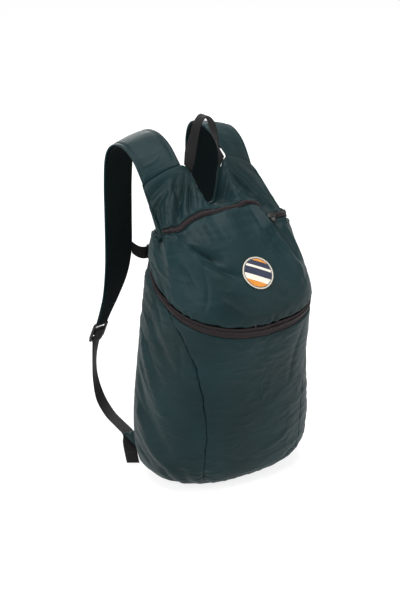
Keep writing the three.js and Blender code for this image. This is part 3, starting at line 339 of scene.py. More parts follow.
def skin_normal(angle, level):
    """Direction out of the smooth skin."""
    around = skin(angle + NUDGE_ANGLE, level) - skin(angle - NUDGE_ANGLE, level)
    above = np.minimum(level + NUDGE_LEVEL, TOP_LEVEL)
    below = np.maximum(level - NUDGE_LEVEL, 0)
    return unit(np.cross(around, skin(angle, above) - skin(angle, below)))


def per_level(angle, level):
    """Millimetres along the skin for one level."""
    above = np.minimum(level + NUDGE_LEVEL, TOP_LEVEL)
    run = skin(angle, above) - skin(angle, above - 2 * NUDGE_LEVEL)
    return np.linalg.norm(run, axis=-1) / (2 * NUDGE_LEVEL)


def per_degree(angle, level):
    """Millimetres along the skin for one degree."""
    return np.linalg.norm(skin(angle + NUDGE_ANGLE, level) - skin(angle - NUDGE_ANGLE, level), axis=-1)


def turned(angle):
    """The angle between -180 and 180 degrees."""
    return np.mod(angle + 180, 360) - 180


def lower_zip_level(angle):
    return smooth_table(LOWER_ZIP, np.abs(turned(angle)))


def upper_zip_level(angle):
    return smooth_table(UPPER_ZIP, angle)


def front_seam_angle(level):
    return smooth_table(FRONT_SEAM, level)


def back_seam_angle(level):
    return smooth_table(BACK_SEAM, level)


def flat(angle, level):
    """The cloth laid flat, where folds are measured."""
    heights = np.append(BODY_ROWS[:, 1], NECK_HEIGHT[-3][1])
    share = np.interp(level, np.arange(TOP_LEVEL + 1), heights)
    across = np.radians(turned(angle)) * FLAT_RADIUS * HALF_WIDTH
    return np.stack(np.broadcast_arrays(across, BODY_HEIGHT * share), axis=-1)


def beside_run(here, start, run):
    """Distance from each point to a straight run, and the share of the run that is nearest."""
    along = np.clip(((here - start) @ run) / (run @ run), 0, 1)
    away = np.linalg.norm(here - start - along[..., None] * run, axis=-1)
    return away, along


def fold_height(angle, level):
    """Height of the main folds, as in the part's source."""
    here = flat(angle, level)
    height = np.zeros(here.shape[:-1])
    for from_angle, from_level, to_angle, to_level, rise, width in FOLDS:
        start = flat(np.float64(from_angle), np.float64(from_level))
        run = flat(np.float64(to_angle), np.float64(to_level)) - start
        away, _ = beside_run(here, start, run)
        height += rise * FOLD_DEPTH * np.exp(-((away / (width * FOLD_WIDTH)) ** 2))
    height *= np.clip((TOP_LEVEL - level) / FOLDS_FADE, 0, 1)
    to_zip = (level - lower_zip_level(angle)) * per_level(angle, level)
    return height - ZIP_DIP * np.exp(-((to_zip / ZIP_DIP_WIDTH) ** 2))


def crease_height(angle, level):
    """Height of the fine creases: a sharp crest or valley that dies out at both ends."""
    here = flat(angle, level)
    height = np.zeros(here.shape[:-1])
    for points, rise, width in CREASES:
        line = np.array([flat(np.float64(a), np.float64(b)) for a, b in points])
        lengths = np.linalg.norm(np.diff(line, axis=0), axis=1)
        total = lengths.sum()
        nearest = np.full(here.shape[:-1], 1e9)
        share = np.zeros(here.shape[:-1])
        for k, length in enumerate(lengths):
            away, along = beside_run(here, line[k], line[k + 1] - line[k])
            is_nearer = away < nearest
            nearest = np.where(is_nearer, away, nearest)
            share = np.where(is_nearer, (lengths[:k].sum() + along * length) / total, share)
        fade = np.sin(np.pi * np.clip(share, CREASE_TIP, 1 - CREASE_TIP)) ** CREASE_SWELL
        height += CREASE_STRENGTH * rise * fade / (1 + (nearest / width) ** 2) ** 1.5
    return height


LATTICE = 64  # cells of the noise before it repeats


def lattice_noise(points, seed):
    """Smooth noise between -1 and 1 on a plane, from a seeded lattice."""
    lattice = np.random.default_rng(seed).uniform(-1, 1, (LATTICE, LATTICE))
    cell = np.floor(points).astype(int)
    u = points - cell
    u = u * u * (3 - 2 * u)
    i, j = cell[..., 0] % LATTICE, cell[..., 1] % LATTICE
    i1, j1 = (i + 1) % LATTICE, (j + 1) % LATTICE
    low = lattice[i, j] * (1 - u[..., 0]) + lattice[i1, j] * u[..., 0]
    high = lattice[i, j1] * (1 - u[..., 0]) + lattice[i1, j1] * u[..., 0]
    return low * (1 - u[..., 1]) + high * u[..., 1]


def ripples(angle, level):
    """Small uneven wrinkles with sharp crests, as light nylon has everywhere. They run
    downwards and outwards, and some stretches of the cloth have few of them."""
    here = flat(angle, level)
    lean = np.where(here[..., :1] < 0, RIPPLE_LEAN, -RIPPLE_LEAN)
    along = here[..., 1:] + lean * here[..., :1]
    across = here[..., :1] - lean * here[..., 1:]
    total = np.zeros(here.shape[:-1])
    for seed, length, width, height in RIPPLES:
        spot = np.concatenate([across / length, along / width], axis=-1)
        bend = lattice_noise(spot * 0.8 + 9, seed + 1)
        crest = 1 - np.abs(lattice_noise(spot + RIPPLE_BEND * bend[..., None], seed))
        total += height * (crest**4 - 0.3)
    calm = np.clip(lattice_noise(here / CALM_SIZE + 30, CALM_SEED) * 1.4 + 0.75, 0.25, 1)
    return total * calm


def off_patch(angle, level):
    """0 under the round patch, which holds the cloth smooth, and 1 a little way off it."""
    middle = flat(np.float64(PATCH_ANGLE), np.float64(PATCH_LEVEL))
    away = np.linalg.norm(flat(angle, level) - middle, axis=-1)
    return np.clip((away - PATCH_RADIUS - FINE_START_PATCH) / FINE_FADE_PATCH, 0, 1)


def relief(angle, level):
    """How far the cloth stands out from the smooth skin, in millimetres."""
    angle, level = np.broadcast_arrays(np.asarray(angle, float), np.asarray(level, float))
    fine = crease_height(angle, level) + ripples(angle, level)
    fine *= np.clip((TOP_LEVEL - level) / FINE_FADE_NECK, 0, 1)
    fine *= np.clip((level - FINE_START_BASE) / FINE_FADE_BASE, 0, 1)
    fine *= off_patch(angle, level)
    return fold_height(angle, level) + fine


def cloth(angle, level, depth=0.0):
    """A point of the folded skin, sunk below its outer face by depth."""
    lift = relief(angle, level) - depth
    return skin(angle, level) + skin_normal(angle, level) * np.asarray(lift)[..., None]


def beside_seam(angle, level, way):
    """The angle half a gap beside a seam, on its side way."""
    return angle + way * SEAM_GAP / 2 / per_degree(angle, level)


def above_seam(angle, level, way):
    """The level half a gap above a seam, or below it if way is -1."""
    return level + way * SEAM_GAP / 2 / per_level(angle, level)


def zip_edge(angle, level, width, way):
    """The level of the cloth's edge along a zip."""
    return level + way * (width + SEAM_GAP) / 2 / per_level(angle, level)


def lower_zip_width(angle):
    """Width of the lower zip, which narrows towards its ends."""
    share = LOWER_ZIP_END + (1 - LOWER_ZIP_END) * np.cos(np.radians(turned(angle)) / 1.3) ** 2
    return LOWER_ZIP_WIDTH * share


def upper_zip_width(angle):
    return UPPER_ZIP_WIDTH + 0 * angle


def lower_zip_edge(angle, way):
    return zip_edge(angle, lower_zip_level(angle), lower_zip_width(angle), way)


def upper_zip_edge(angle, way):
    return zip_edge(angle, upper_zip_level(angle), upper_zip_width(angle), way)


def base_seam_top(angle):
    return above_seam(angle, BASE_SEAM_LEVEL, 1)


def lower_zip_bottom(angle):
    return lower_zip_edge(angle, -1)


def between_seams(across, up, from_angle, to_angle):
    """Angle and level in a panel whose side seams follow the level."""
    level = BASE_SEAM_LEVEL + (TOP_LEVEL - BASE_SEAM_LEVEL) * up
    for _ in range(8):
        start = beside_seam(from_angle(level), level, 1)
        end = beside_seam(to_angle(level), level, -1)
        angle = start + (end - start) * across
        bottom = base_seam_top(angle)
        level = bottom + (lower_zip_bottom(angle) - bottom) * up
    return angle, level


def front_spot(across, up):
    return between_seams(across, up, lambda level: -front_seam_angle(level), front_seam_angle)


def side_spot(across, up):
    return between_seams(across, up, front_seam_angle, back_seam_angle)


# Rows of the upper front panel, as in the part's source: the pocket up to UPPER_ZIP_ROW, then the yoke
UPPER_ZIP_ROW = 9
YOKE_ROWS = 5
UPPER_TOP_ROW = UPPER_ZIP_ROW + 1 + YOKE_ROWS
BEYOND = 1.5  # across at the corner seam, where 1 is the end of the upper zip


def upper_front_level(angle, row):
    """The level of a row of the upper front panel."""
    bottom = lower_zip_edge(angle, 1)
    zip_bottom = upper_zip_edge(angle, -1)
    zip_top = upper_zip_edge(angle, 1)
    pocket = bottom + (zip_bottom - bottom) * row / UPPER_ZIP_ROW
    yoke = zip_top + (TOP_LEVEL - zip_top) * (row - UPPER_ZIP_ROW - 1) / YOKE_ROWS
    slot = zip_bottom + (zip_top - zip_bottom) * (row - UPPER_ZIP_ROW)
    return np.where(row <= UPPER_ZIP_ROW, pocket, np.where(row >= UPPER_ZIP_ROW + 1, yoke, slot))


def upper_front_spot(across, row):
    """Angle and level of a spot of the upper front panel."""
    outside = (np.abs(across) - 1) / (BEYOND - 1)
    level = np.full(np.broadcast(across, row).shape, TOP_LEVEL / 2)
    for _ in range(8):
        edge = beside_seam(back_seam_angle(level), level, -1)
        reach = np.where(outside > 0, UPPER_ZIP_END + (edge - UPPER_ZIP_END) * outside,
                         np.abs(across) * UPPER_ZIP_END)
        angle = np.sign(across) * reach
        level = upper_front_level(angle, row)
    return angle, level


BACK_LOWER_ROWS = 14
BACK_TOP_ROW = BACK_LOWER_ROWS + 1 + UPPER_TOP_ROW


def back_seam_level(side, row):
    """The level of a row of the back panel at its corner seam."""
    share = row / BACK_LOWER_ROWS
    level = np.full(np.shape(row), TOP_LEVEL / 2)
    for _ in range(8):
        angle = side * back_seam_angle(level)
        bottom = base_seam_top(angle)
        lower = bottom + (lower_zip_bottom(angle) - bottom) * share
        upper = upper_front_level(angle, row - BACK_LOWER_ROWS - 1)
        gap = lower_zip_edge(angle, -1)
        gap = gap + (lower_zip_edge(angle, 1) - gap) * (row - BACK_LOWER_ROWS)
        level = np.where(share <= 1, lower, np.where(row >= BACK_LOWER_ROWS + 1, upper, gap))
    top = level - NECK_CLEARANCE / per_level(np.full(np.shape(row), 180.0), level)
    return np.where(row > BACK_TOP_ROW - 1, level + (top - level) * (row - BACK_TOP_ROW + 1), level)


def back_spot(across, row):
    """Angle and level of a spot of the back panel."""
    one_side = back_seam_level(1, row)
    level = one_side + (back_seam_level(-1, row) - one_side) * across
    seam = back_seam_angle(level)
    start = beside_seam(seam, level, 1)
    return start + (beside_seam(360 - seam, level, -1) - start) * across, level


# Meshes


def make(name, vertices, faces, material, node=None, uv=None):
    """A piece in metres from vertices in millimetres, riding on the frame."""
    mesh = bpy.data.meshes.new(name)
    mesh.from_pydata((np.asarray(vertices, float).reshape(-1, 3) * MM).tolist(), [], faces)
    if uv is not None:
        layer = mesh.uv_layers.new(name="cloth")
        corners = np.empty(len(mesh.loops), int)
        mesh.loops.foreach_get("vertex_index", corners)
        layer.data.foreach_set("uv", (np.asarray(uv).reshape(-1, 2)[corners] * MM).ravel())
    return finish_piece(name, mesh, material, node)


def add_object(name, data):
    thing = bpy.data.objects.new(name, data)
    bpy.context.scene.collection.objects.link(thing)
    return thing


def finish_piece(name, mesh, material, node):
    """Puts a mesh in the scene as a smooth piece that rides on the bag."""
    mesh.polygons.foreach_set("use_smooth", [True] * len(mesh.polygons))
    mesh.materials.append(material)
    piece = add_object(name, mesh)
    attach(piece, "root")
    if node:
        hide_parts(node)
    return piece


def grid_faces(rows, columns, offset=0, flip=False, is_open=None):
    """Quads of a grid of points, without those that is_open leaves out."""
    faces = []
    for j in range(rows - 1):
        for i in range(columns - 1):
            if is_open is not None and is_open(j, i):
                continue
            a = offset + j * columns + i
            quad = (a, a + 1, a + columns + 1, a + columns)
            faces.append(quad[::-1] if flip else quad)
    return faces


def wall(outer, inner, is_open=None):
    """Vertices and faces of a wall between two grids of points, with rims."""
    rows, columns = outer.shape[:2]
    count = rows * columns
    faces = grid_faces(rows, columns, 0, False, is_open)
    edges = {}
    for face in faces:
        for k in range(4):
            edge = (face[k], face[(k + 1) % 4])
            if (edge[1], edge[0]) in edges:
                del edges[(edge[1], edge[0])]
            else:
                edges[edge] = True
    faces += grid_faces(rows, columns, count, True, is_open)
    for a, b in edges:
        faces.append((b, a, a + count, b + count))
    return np.concatenate([outer.reshape(-1, 3), inner.reshape(-1, 3)]), faces


def edit(mesh, change):
    """Runs a change on a mesh's editable copy and writes it back."""
    edited = bmesh.new()
    edited.from_mesh(mesh)
    change(edited)
    edited.to_mesh(mesh)
    edited.free()


def drop_loose(edited):
    """Takes out vertices that no face uses."""
    loose = [v for v in edited.verts if not v.link_faces]
    bmesh.ops.delete(edited, geom=loose, context="VERTS")


DOUBLED = 0.00001  # metres between vertices that are one


def weld(edited):
    """Joins doubled vertices, such as those of a closed ring, and drops collapsed faces."""
    bmesh.ops.remove_doubles(edited, verts=edited.verts, dist=DOUBLED)
    bmesh.ops.dissolve_degenerate(edited, edges=edited.edges, dist=DOUBLED)
    bmesh.ops.recalc_face_normals(edited, faces=edited.faces)


# Seams and hems in millimetres: depth and reach of the sharp roll at a seam and of the soft one
# round it, the gathers' height, length and reach, and the hem beside a zip
SEAM_ROLLS = ((1.5, 2.6), (0.5, 9))
PUCKER_HEIGHT = 1.1
PUCKER_LENGTH = 7
PUCKER_REACH = 13
HEM_HEIGHT = 0.9
HEM_PLACE = 4
HEM_WIDTH = 1.8
SEAM_FADE_NECK = 0.15  # levels


def bell(away, reach):
    return np.exp(-((away / reach) ** 2))


def seam_profile(away):
    """How far the cloth rolls in where a seam pulls it, by the distance from the seam."""
    return sum(depth * bell(away, reach) for depth, reach in SEAM_ROLLS)


def pucker(run, away, seed):
    """Short gathers square to a seam: run is the distance along it."""
    spots = np.stack([run / PUCKER_LENGTH, away / (2 * PUCKER_REACH)], axis=-1)
    return PUCKER_HEIGHT * lattice_noise(spots, seed) * bell(away, PUCKER_REACH)


def run_lengths(points, axis=0):
    """Distances along runs of points from their first ones."""
    steps = np.linalg.norm(np.diff(points, axis=axis), axis=-1)
    return np.concatenate([0 * steps.take([0], axis=axis), np.cumsum(steps, axis=axis)], axis=axis)


def point_at(points, lengths, at):
    """The point of a run that lies the length at along it."""
    return np.array([np.interp(at, lengths, points[:, i]) for i in range(3)])


def cloth_panel(node, angle, level, seed, is_open=None, hems=(), depths=(1, 1)):
    """A cloth panel on the skin. hems are grids of distances from further edges, such as a zip's.
    depths say how deep the seams at the first and the last column are, where 1 is the full depth."""
    plain = cloth(angle, level)
    left, low = run_lengths(plain, 1), run_lengths(plain, 0)
    right = left[:, -1:] - left
    sink = depths[0] * seam_profile(left) + depths[1] * seam_profile(right) + seam_profile(low)
    sink = sink - depths[0] * pucker(low, left, seed) - depths[1] * pucker(low, right, seed + 20)
    sink = sink - pucker(left, low, seed + 40)
    for away in hems:
        hem = HEM_HEIGHT * bell(away - HEM_PLACE, HEM_WIDTH)
        sink = sink + 0.5 * seam_profile(away) - hem - pucker(left, away, seed + 60)
    sink = sink * np.clip((TOP_LEVEL - level) / SEAM_FADE_NECK, 0, 1)
    vertices, faces = wall(cloth(angle, level, sink), cloth(angle, level, sink + FABRIC), is_open)
    uv = flat(angle, level).reshape(-1, 2)
    piece = make(f"{node}_cloth", vertices, faces, NYLON, node, uv=np.concatenate([uv, uv]))
    if is_open is not None:
        edit(piece.data, drop_loose)


def grid(columns, rows):
    """Two grids of values: columns across, rows up."""
    return np.meshgrid(np.asarray(columns, float), np.asarray(rows, float))


def refine(values, count):
    """Extra rows between the given ones, on a smooth curve."""
    values = np.asarray(values, float)
    last = len(values) - 1
    fine = []
    for k in range(last):
        start, end = values[k], values[k + 1]
        before, after = values[max(k - 1, 0)], values[min(k + 2, last)]
        for j in range(count):
            fine.append(catmull_rom(before, start, end, after, j / count))
    fine.append(values[last])
    return np.array(fine)


def band_middle(centres, halves, columns):
    """Grid of points across a band, whose edges are halves away from its centres."""
    return centres[:, None] + halves[:, None] * columns[None, :, None]


def make_band(name, outer, inner, centres, halves, columns, material, node):
    """A band between two grids of points, its cloth laid flat along its length."""
    wide = np.linalg.norm(halves, axis=1)[:, None] * columns[None]
    uv = np.stack([wide, run_lengths(centres)[:, None] + 0 * wide], axis=-1).reshape(-1, 2)
    vertices, faces = wall(outer, inner)
    return make(name, vertices, faces, material, node, uv=np.concatenate([uv, uv]))


def even_band(name, centres, halves, faces_out, profile, columns, material, node):
    """A band whose half thickness is profile(across, row)."""
    middle = band_middle(centres, halves, columns)
    rows = np.arange(len(centres))[:, None]
    half = profile(columns[None, :] + 0 * rows, rows + 0 * columns[None, :])
    out = faces_out[:, None] * half[..., None]
    make_band(name, middle + out, middle - out, centres, halves, columns, material, node)


def face_directions(centres, halves, way):
    """Directions square to a band, on its side way."""
    run = np.empty_like(centres)
    run[1:-1] = centres[2:] - centres[:-2]
    run[0] = centres[1] - centres[0]
    run[-1] = centres[-1] - centres[-2]
    return unit(np.cross(run, halves)) * way


# Materials


def linear(code):
    """An sRGB hex colour as linear red, green, blue and alpha."""
    parts = [int(code[k:k + 2], 16) / 255 for k in (1, 3, 5)]
    return tuple(c / 12.92 if c <= 0.04045 else ((c + 0.055) / 1.055) ** 2.4 for c in parts) + (1.0,)


def add(tree, kind, settings=(), inputs=(), stops=(), to=None):
    """Adds a node with its settings, its sockets' values or links and its colour stops, each a
    position and a hex colour. to is the socket that takes its first output."""
    node = tree.nodes.new("ShaderNode" + kind)
    for name, value in dict(settings).items():
        setattr(node, name, value)
    for name, value in dict(inputs).items():
        if isinstance(value, bpy.types.NodeSocket):
            tree.links.new(value, node.inputs[name])
        else:
            node.inputs[name].default_value = value
    if stops:
        elements = node.color_ramp.elements
        while len(elements) < len(stops):
            elements.new(0.5)
        for element, (position, code) in zip(elements, stops):
            element.position = position
            element.color = linear(code)
    if to is not None:
        tree.links.new(node.outputs[0], to)
    return node


SHEEN_ROUGHNESS = 0.4


def new_material(name, roughness, specular=0.5, sheen=0.0):
    material = bpy.data.materials.new(name)
    material.use_nodes = True
    shader = material.node_tree.nodes["Principled BSDF"]
    shader.inputs["Roughness"].default_value = roughness
    shader.inputs["Specular IOR Level"].default_value = specular
    shader.inputs["Sheen Weight"].default_value = sheen
    shader.inputs["Sheen Roughness"].default_value = SHEEN_ROUGHNESS
    return material, material.node_tree, shader


def cloth_place(tree, spacing):
    """The flat cloth in threads of the given spacing in metres."""
    uv = add(tree, "UVMap", {"uv_map": "cloth"}).outputs["UV"]
    scale = 1 / spacing
    return add(tree, "Mapping", inputs={"Vector": uv, "Scale": (scale, scale, scale)}).outputs["Vector"]


def threads(tree, spacing, direction, distortion=0.4):
    """Threads side by side on the flat cloth, spacing metres apart."""
    return add(tree, "TexWave", {"wave_type": "BANDS", "bands_direction": direction, "wave_profile": "SIN"},
               {"Vector": cloth_place(tree, spacing), "Scale": math.pi / 10, "Distortion": distortion,
                "Detail": 1.0}).outputs["Fac"]


def finish(tree, shader, pattern, stops, height):
    """Colours a material along a pattern and raises it by the height in metres."""
    add(tree, "ValToRGB", inputs={"Fac": pattern}, stops=stops, to=shader.inputs["Base Color"])
    add(tree, "Bump", inputs={"Height": pattern, "Distance": height, "Strength": 1.0},
        to=shader.inputs["Normal"])


def nylon_taffeta():
    """Calendered nylon taffeta: a fine plain weave with a soft sheen.

    The threads lie about 0.25 mm apart. They are drawn 0.8 mm apart so that they show."""
    material, tree, shader = new_material("nylon_taffeta", roughness=0.5, specular=0.15, sheen=0.02)
    across, along = threads(tree, 0.0008, "X"), threads(tree, 0.0008, "Y")
    weave = add(tree, "Math", {"operation": "MULTIPLY"}, {0: across, 1: along}).outputs[0]
    here = add(tree, "TexCoord").outputs["Object"]
    cloudy = add(tree, "TexNoise", inputs={"Vector": here, "Scale": 9.0, "Detail": 3.0}).outputs["Fac"]
    uv = add(tree, "UVMap", {"uv_map": "cloth"}).outputs["UV"]
    slant = add(tree, "Mapping", inputs={
        "Vector": uv, "Rotation": (0, 0, math.radians(24)), "Scale": (26, 74, 74),
    }).outputs["Vector"]
    crumple = add(tree, "TexNoise", {"noise_type": "RIDGED_MULTIFRACTAL"}, {
        "Vector": slant, "Scale": 1.0, "Detail": 2.5, "Roughness": 0.5, "Distortion": 0.5,
    }).outputs["Fac"]
    fine = add(tree, "Math", {"operation": "MULTIPLY"}, {0: weave, 1: 0.25}).outputs[0]
    tone = add(tree, "Math", {"operation": "MULTIPLY_ADD"}, {0: cloudy, 1: 0.75, 2: fine}).outputs[0]
    add(tree, "ValToRGB", inputs={"Fac": tone}, to=shader.inputs["Base Color"],
        stops=((0.25, "#081c1e"), (0.5, "#0d2629"), (0.75, "#143033")))
    raised = add(tree, "Bump", inputs={"Height": weave, "Distance": 0.00008, "Strength": 0.6})
    add(tree, "Bump", inputs={
        "Height": crumple, "Distance": 0.0026, "Strength": 0.8, "Normal": raised.outputs["Normal"],
    }, to=shader.inputs["Normal"])
    return material


def spacer_mesh():
    """Knitted polyester spacer mesh, matt, with open cells about 2 mm across."""
    material, tree, shader = new_material("spacer_mesh", roughness=0.85, specular=0.08, sheen=0.02)
    cells = add(tree, "TexVoronoi", {"feature": "F1"}, {
        "Vector": cloth_place(tree, 0.0022), "Scale": 1.0, "Randomness": 0.15,
    }).outputs["Distance"]
    finish(tree, shader, cells, ((0.2, "#030708"), (0.55, "#0c1819")), 0.0004)
    return material


def woven_webbing():
    """Woven polypropylene webbing: ribs across it about 1.3 mm apart, matt with a dull shine."""
    material, tree, shader = new_material("woven_webbing", roughness=0.62, specular=0.14, sheen=0.02)
    ribs = threads(tree, 0.0013, "Y", 0.8)
    along = threads(tree, 0.0013, "X", 0.5)
    fine = add(tree, "Math", {"operation": "MULTIPLY"}, {0: along, 1: 0.3}).outputs[0]
    tone = add(tree, "Math", {"operation": "MULTIPLY_ADD"}, {0: ribs, 1: 0.7, 2: fine}).outputs[0]
    finish(tree, shader, tone, ((0.15, "#0e0d0e"), (0.8, "#1f1d1e")), 0.00035)
    return material


def zip_tape():
    """Woven polyester zip tape, brownish black, with a fine rib."""
    material, tree, shader = new_material("zip_tape", roughness=0.7, specular=0.12)
    finish(tree, shader, threads(tree, 0.0009, "X", 0.6), ((0.2, "#1f1a1b"), (0.8, "#312a2b")), 0.0002)
    return material


def moulded_nylon(name, dark, light, roughness):
    """Injection-moulded nylon with a fine grain, drawn about 1 mm coarse so that it shows."""
    material, tree, shader = new_material(name, roughness=roughness, specular=0.25)
    here = add(tree, "TexCoord").outputs["Object"]
    grain = add(tree, "TexNoise", inputs={"Vector": here, "Scale": 900.0, "Detail": 2.0}).outputs["Fac"]
    finish(tree, shader, grain, ((0.3, dark), (0.7, light)), 0.00005)
    return material


def embroidered_stripes():
    """Rayon embroidery: threads about 0.6 mm apart, unequal slanting stripes inside a navy ring."""
    material, tree, shader = new_material("embroidered_stripes", roughness=0.5, specular=0.4, sheen=0.2)
    uv = add(tree, "UVMap", {"uv_map": "cloth"}).outputs["UV"]
    turn = add(tree, "Mapping", inputs={"Vector": uv, "Rotation": (0, 0, math.radians(28))}).outputs["Vector"]
    parts = add(tree, "SeparateXYZ", inputs={"Vector": turn})
    across = add(tree, "Math", {"operation": "MULTIPLY"},
                 {0: parts.outputs["Y"], 1: 1 / (2 * PATCH_RADIUS * MM)}).outputs[0]
    away = add(tree, "VectorMath", {"operation": "LENGTH"}, {0: uv}).outputs["Value"]
    inside = add(tree, "Math", {"operation": "LESS_THAN"}, {0: away, 1: PATCH_RING * MM}).outputs[0]
    share = add(tree, "Math", {"operation": "MULTIPLY_ADD"}, {0: across, 1: inside, 2: 0.5}).outputs[0]
    orange, cream, navy = "#d98a2b", "#efe6d6", "#1d2740"
    stripes = add(tree, "ValToRGB", inputs={"Fac": share}, stops=(
        (0.0, orange), (0.24, cream), (0.4, navy), (0.62, cream), (0.69, navy), (0.84, orange),
    ), to=shader.inputs["Base Color"])
    stripes.color_ramp.interpolation = "CONSTANT"
    stitching = threads(tree, 0.0006, "DIAGONAL", 0.5)
    add(tree, "Bump", inputs={"Height": stitching, "Distance": 0.0003, "Strength": 1.0},
        to=shader.inputs["Normal"])
    return material


def overlocked_rim():
    """The overlocked rim of the patch: cream thread wound square to the edge."""
    material, tree, shader = new_material("overlocked_rim", roughness=0.55, specular=0.4, sheen=0.2)
    finish(tree, shader, threads(tree, 0.0007, "Y", 0.3), ((0.1, "#a8a294"), (0.7, "#e4ddcd")), 0.0003)
    return material


def sewing_thread():
    """Bonded nylon sewing thread, a shade lighter than the cloth."""
    material, tree, shader = new_material("sewing_thread", roughness=0.5, specular=0.5)
    here = add(tree, "TexCoord").outputs["Object"]
    twist = add(tree, "TexWave", {"bands_direction": "DIAGONAL"},
                {"Vector": here, "Scale": 600.0}).outputs["Fac"]
    finish(tree, shader, twist, ((0.2, "#2b4045"), (0.8, "#4a6468")), 0.0001)
    return material


NYLON = nylon_taffeta()
MESH = spacer_mesh()
WEBBING = woven_webbing()
TAPE = zip_tape()
COIL = moulded_nylon("moulded_coil", "#1e1719", "#2b2224", 0.42)
PLASTIC = moulded_nylon("moulded_buckle", "#0f1011", "#1c1d1e", 0.36)
STRIPES = embroidered_stripes()
RIM = overlocked_rim()
THREAD = sewing_thread()


# Cloth panels

TAUT_SEAM = 0.12  # the seam right of the front is drawn tight and hardly shows


def flatter_below(level):
    """The depth of the left front seam, which lies flatter towards the base."""
    return 0.35 + 0.65 * np.clip((level - 0.8) / 3, 0, 1)


def from_top(angle, level):
    """How far each point of a panel is from its last row."""
    return np.linalg.norm(cloth(angle, level) - cloth(angle[-1:], level[-1:]), axis=-1)


def front_panel():
    across, up = grid(np.linspace(0, 1, 93), np.linspace(0, 1, 111))
    angle, level = front_spot(across, up)
    cloth_panel("front_lower_panel", angle, level, seed=11, hems=(from_top(angle, level),),
                depths=(flatter_below(level), TAUT_SEAM))


def side_panel(name, side):
    across, up = grid(np.linspace(0, 1, 61), np.linspace(0, 1, 131))
    if side < 0:
        across = across[:, ::-1]
    angle, level = side_spot(across, up)
    angle = side * angle
    cloth_panel(f"side_panel_{name}", angle, level, seed=13 + side, hems=(from_top(angle, level),),
                depths=(TAUT_SEAM, 1) if side > 0 else (1, flatter_below(level)))


def upper_front_panel():
    half = np.linspace(0, 1, 73)[1:]
    beyond = np.linspace(1, BEYOND, 22)[1:]
    columns = np.concatenate([-beyond[::-1], -half[::-1], [0], half, beyond])
    pocket = np.linspace(0, UPPER_ZIP_ROW, 65)
    rows = np.concatenate([pocket, np.linspace(UPPER_ZIP_ROW + 1, UPPER_TOP_ROW, 44)])
    zip_row = len(pocket) - 1
    across, row = grid(columns, rows)
    angle, level = upper_front_spot(across, row)
    spots = cloth(angle, level)
    to_lower = np.linalg.norm(spots - spots[:1], axis=-1)
    beyond_zip = 40 * np.clip(np.abs(across) - 1, 0, 1)
    to_upper = np.where(
        row <= UPPER_ZIP_ROW,
        np.linalg.norm(spots - spots[zip_row:zip_row + 1], axis=-1),
        np.linalg.norm(spots - spots[zip_row + 1:zip_row + 2], axis=-1),
    ) + beyond_zip

    def is_slot(j, i):
        return j == zip_row and abs(columns[i] + columns[i + 1]) < 2

    cloth_panel("upper_front_panel", angle, level, seed=17, is_open=is_slot,
                hems=(to_lower * 0.8, to_upper))


def back_panel():
    rows = np.linspace(0, BACK_TOP_ROW, 181)
    across, row = grid(np.linspace(0, 1, 81), rows)
    angle, level = back_spot(across, row)
    cloth_panel("back_panel", angle, level, seed=23)


def base_panel():
    """The base: a flat oval whose rim turns up to the base seam."""
    angles = np.linspace(0, 360, 181)
    rings = []
    insides = []
    for share in (0.0, 0.25, 0.5, 0.75, 1.0):
        rings.append(share * skin(angles, 0.0) * (1, 1, 0))
        insides.append(share * skin(angles, 0.0) * (0.99, 0.99, 0) + (0, 0, FABRIC))
    top = above_seam(angles, BASE_SEAM_LEVEL, -1)
    for share in (0.25, 0.5, 0.75, 0.92, 1.0):
        level = share * top
        roll = 1.2 * max(share - 0.75, 0) / 0.25
        lift = share * relief(angles, level) - roll
        normal = skin_normal(angles, level)
        rings.append(skin(angles, level) + normal * lift[:, None])
        insides.append(rings[-1] - unit(normal + (0, 0, -0.6 * (1 - share))) * FABRIC)
    outer, inner = np.array(rings), np.array(insides)
    outer[..., 2] = np.maximum(outer[..., 2], 0)
    vertices, faces = wall(outer, inner)
    piece = make("base_panel_cloth", vertices, faces, NYLON, "base_panel",
                 uv=np.concatenate([outer.reshape(-1, 3)[:, :2], inner.reshape(-1, 3)[:, :2]]))
    edit(piece.data, weld)


# Zips

COIL_RADIUS = 1.25
COIL_PITCH = 2.4
COIL_HALF_LENGTH = 2.6
COIL_LIFT = 0.55
COIL_SIDES = 6
# The tapes by their share of the half width, and how far each column is sunk
TAPE_COLUMNS = np.array([
    (-1, 0.9), (-0.8, 0.6), (-0.6, 0.3), (-0.42, 0.35), (-0.3, 0.6), (-0.14, 0.9), (0.0, 1.0),
    (0.14, 0.9), (0.3, 0.6), (0.42, 0.35), (0.6, 0.3), (0.8, 0.6), (1, 0.9),
])


def zip_line(end, level_at):
    """Points and the directions along, out of and across a zip, along its middle."""
    angles = np.linspace(-end, end, 600)
    levels = level_at(angles)
    points = cloth(angles, levels, 0.6)
    run = unit(np.gradient(points, axis=0))
    near = 6 / per_level(angles, levels)
    out = unit(np.cross(run, cloth(angles, levels + near, 0.6) - cloth(angles, levels - near, 0.6)))
    return points, run, out, np.cross(out, run)


def zip_tapes(node, end, level_at, width_at):
    """The two tapes of a zip as one strip, with the coil lying in a shallow groove."""
    columns, sinks = TAPE_COLUMNS.T
    across, angle = np.meshgrid(columns, np.linspace(-end, end, 260))
    reach = across * (width_at(angle) / 2 - 0.65)
    level = level_at(angle)
    level = level + reach / per_level(angle, level)
    outer = cloth(angle, level, sinks[None])
    inner = cloth(angle, level, 2.0)
    vertices, faces = wall(outer[:, ::-1], inner[:, ::-1])
    uv = np.stack([reach, flat(angle, level)[..., 0]], axis=-1)[:, ::-1].reshape(-1, 2)
    make(f"{node}_tape", vertices, faces, TAPE, node, uv=np.concatenate([uv, uv]))


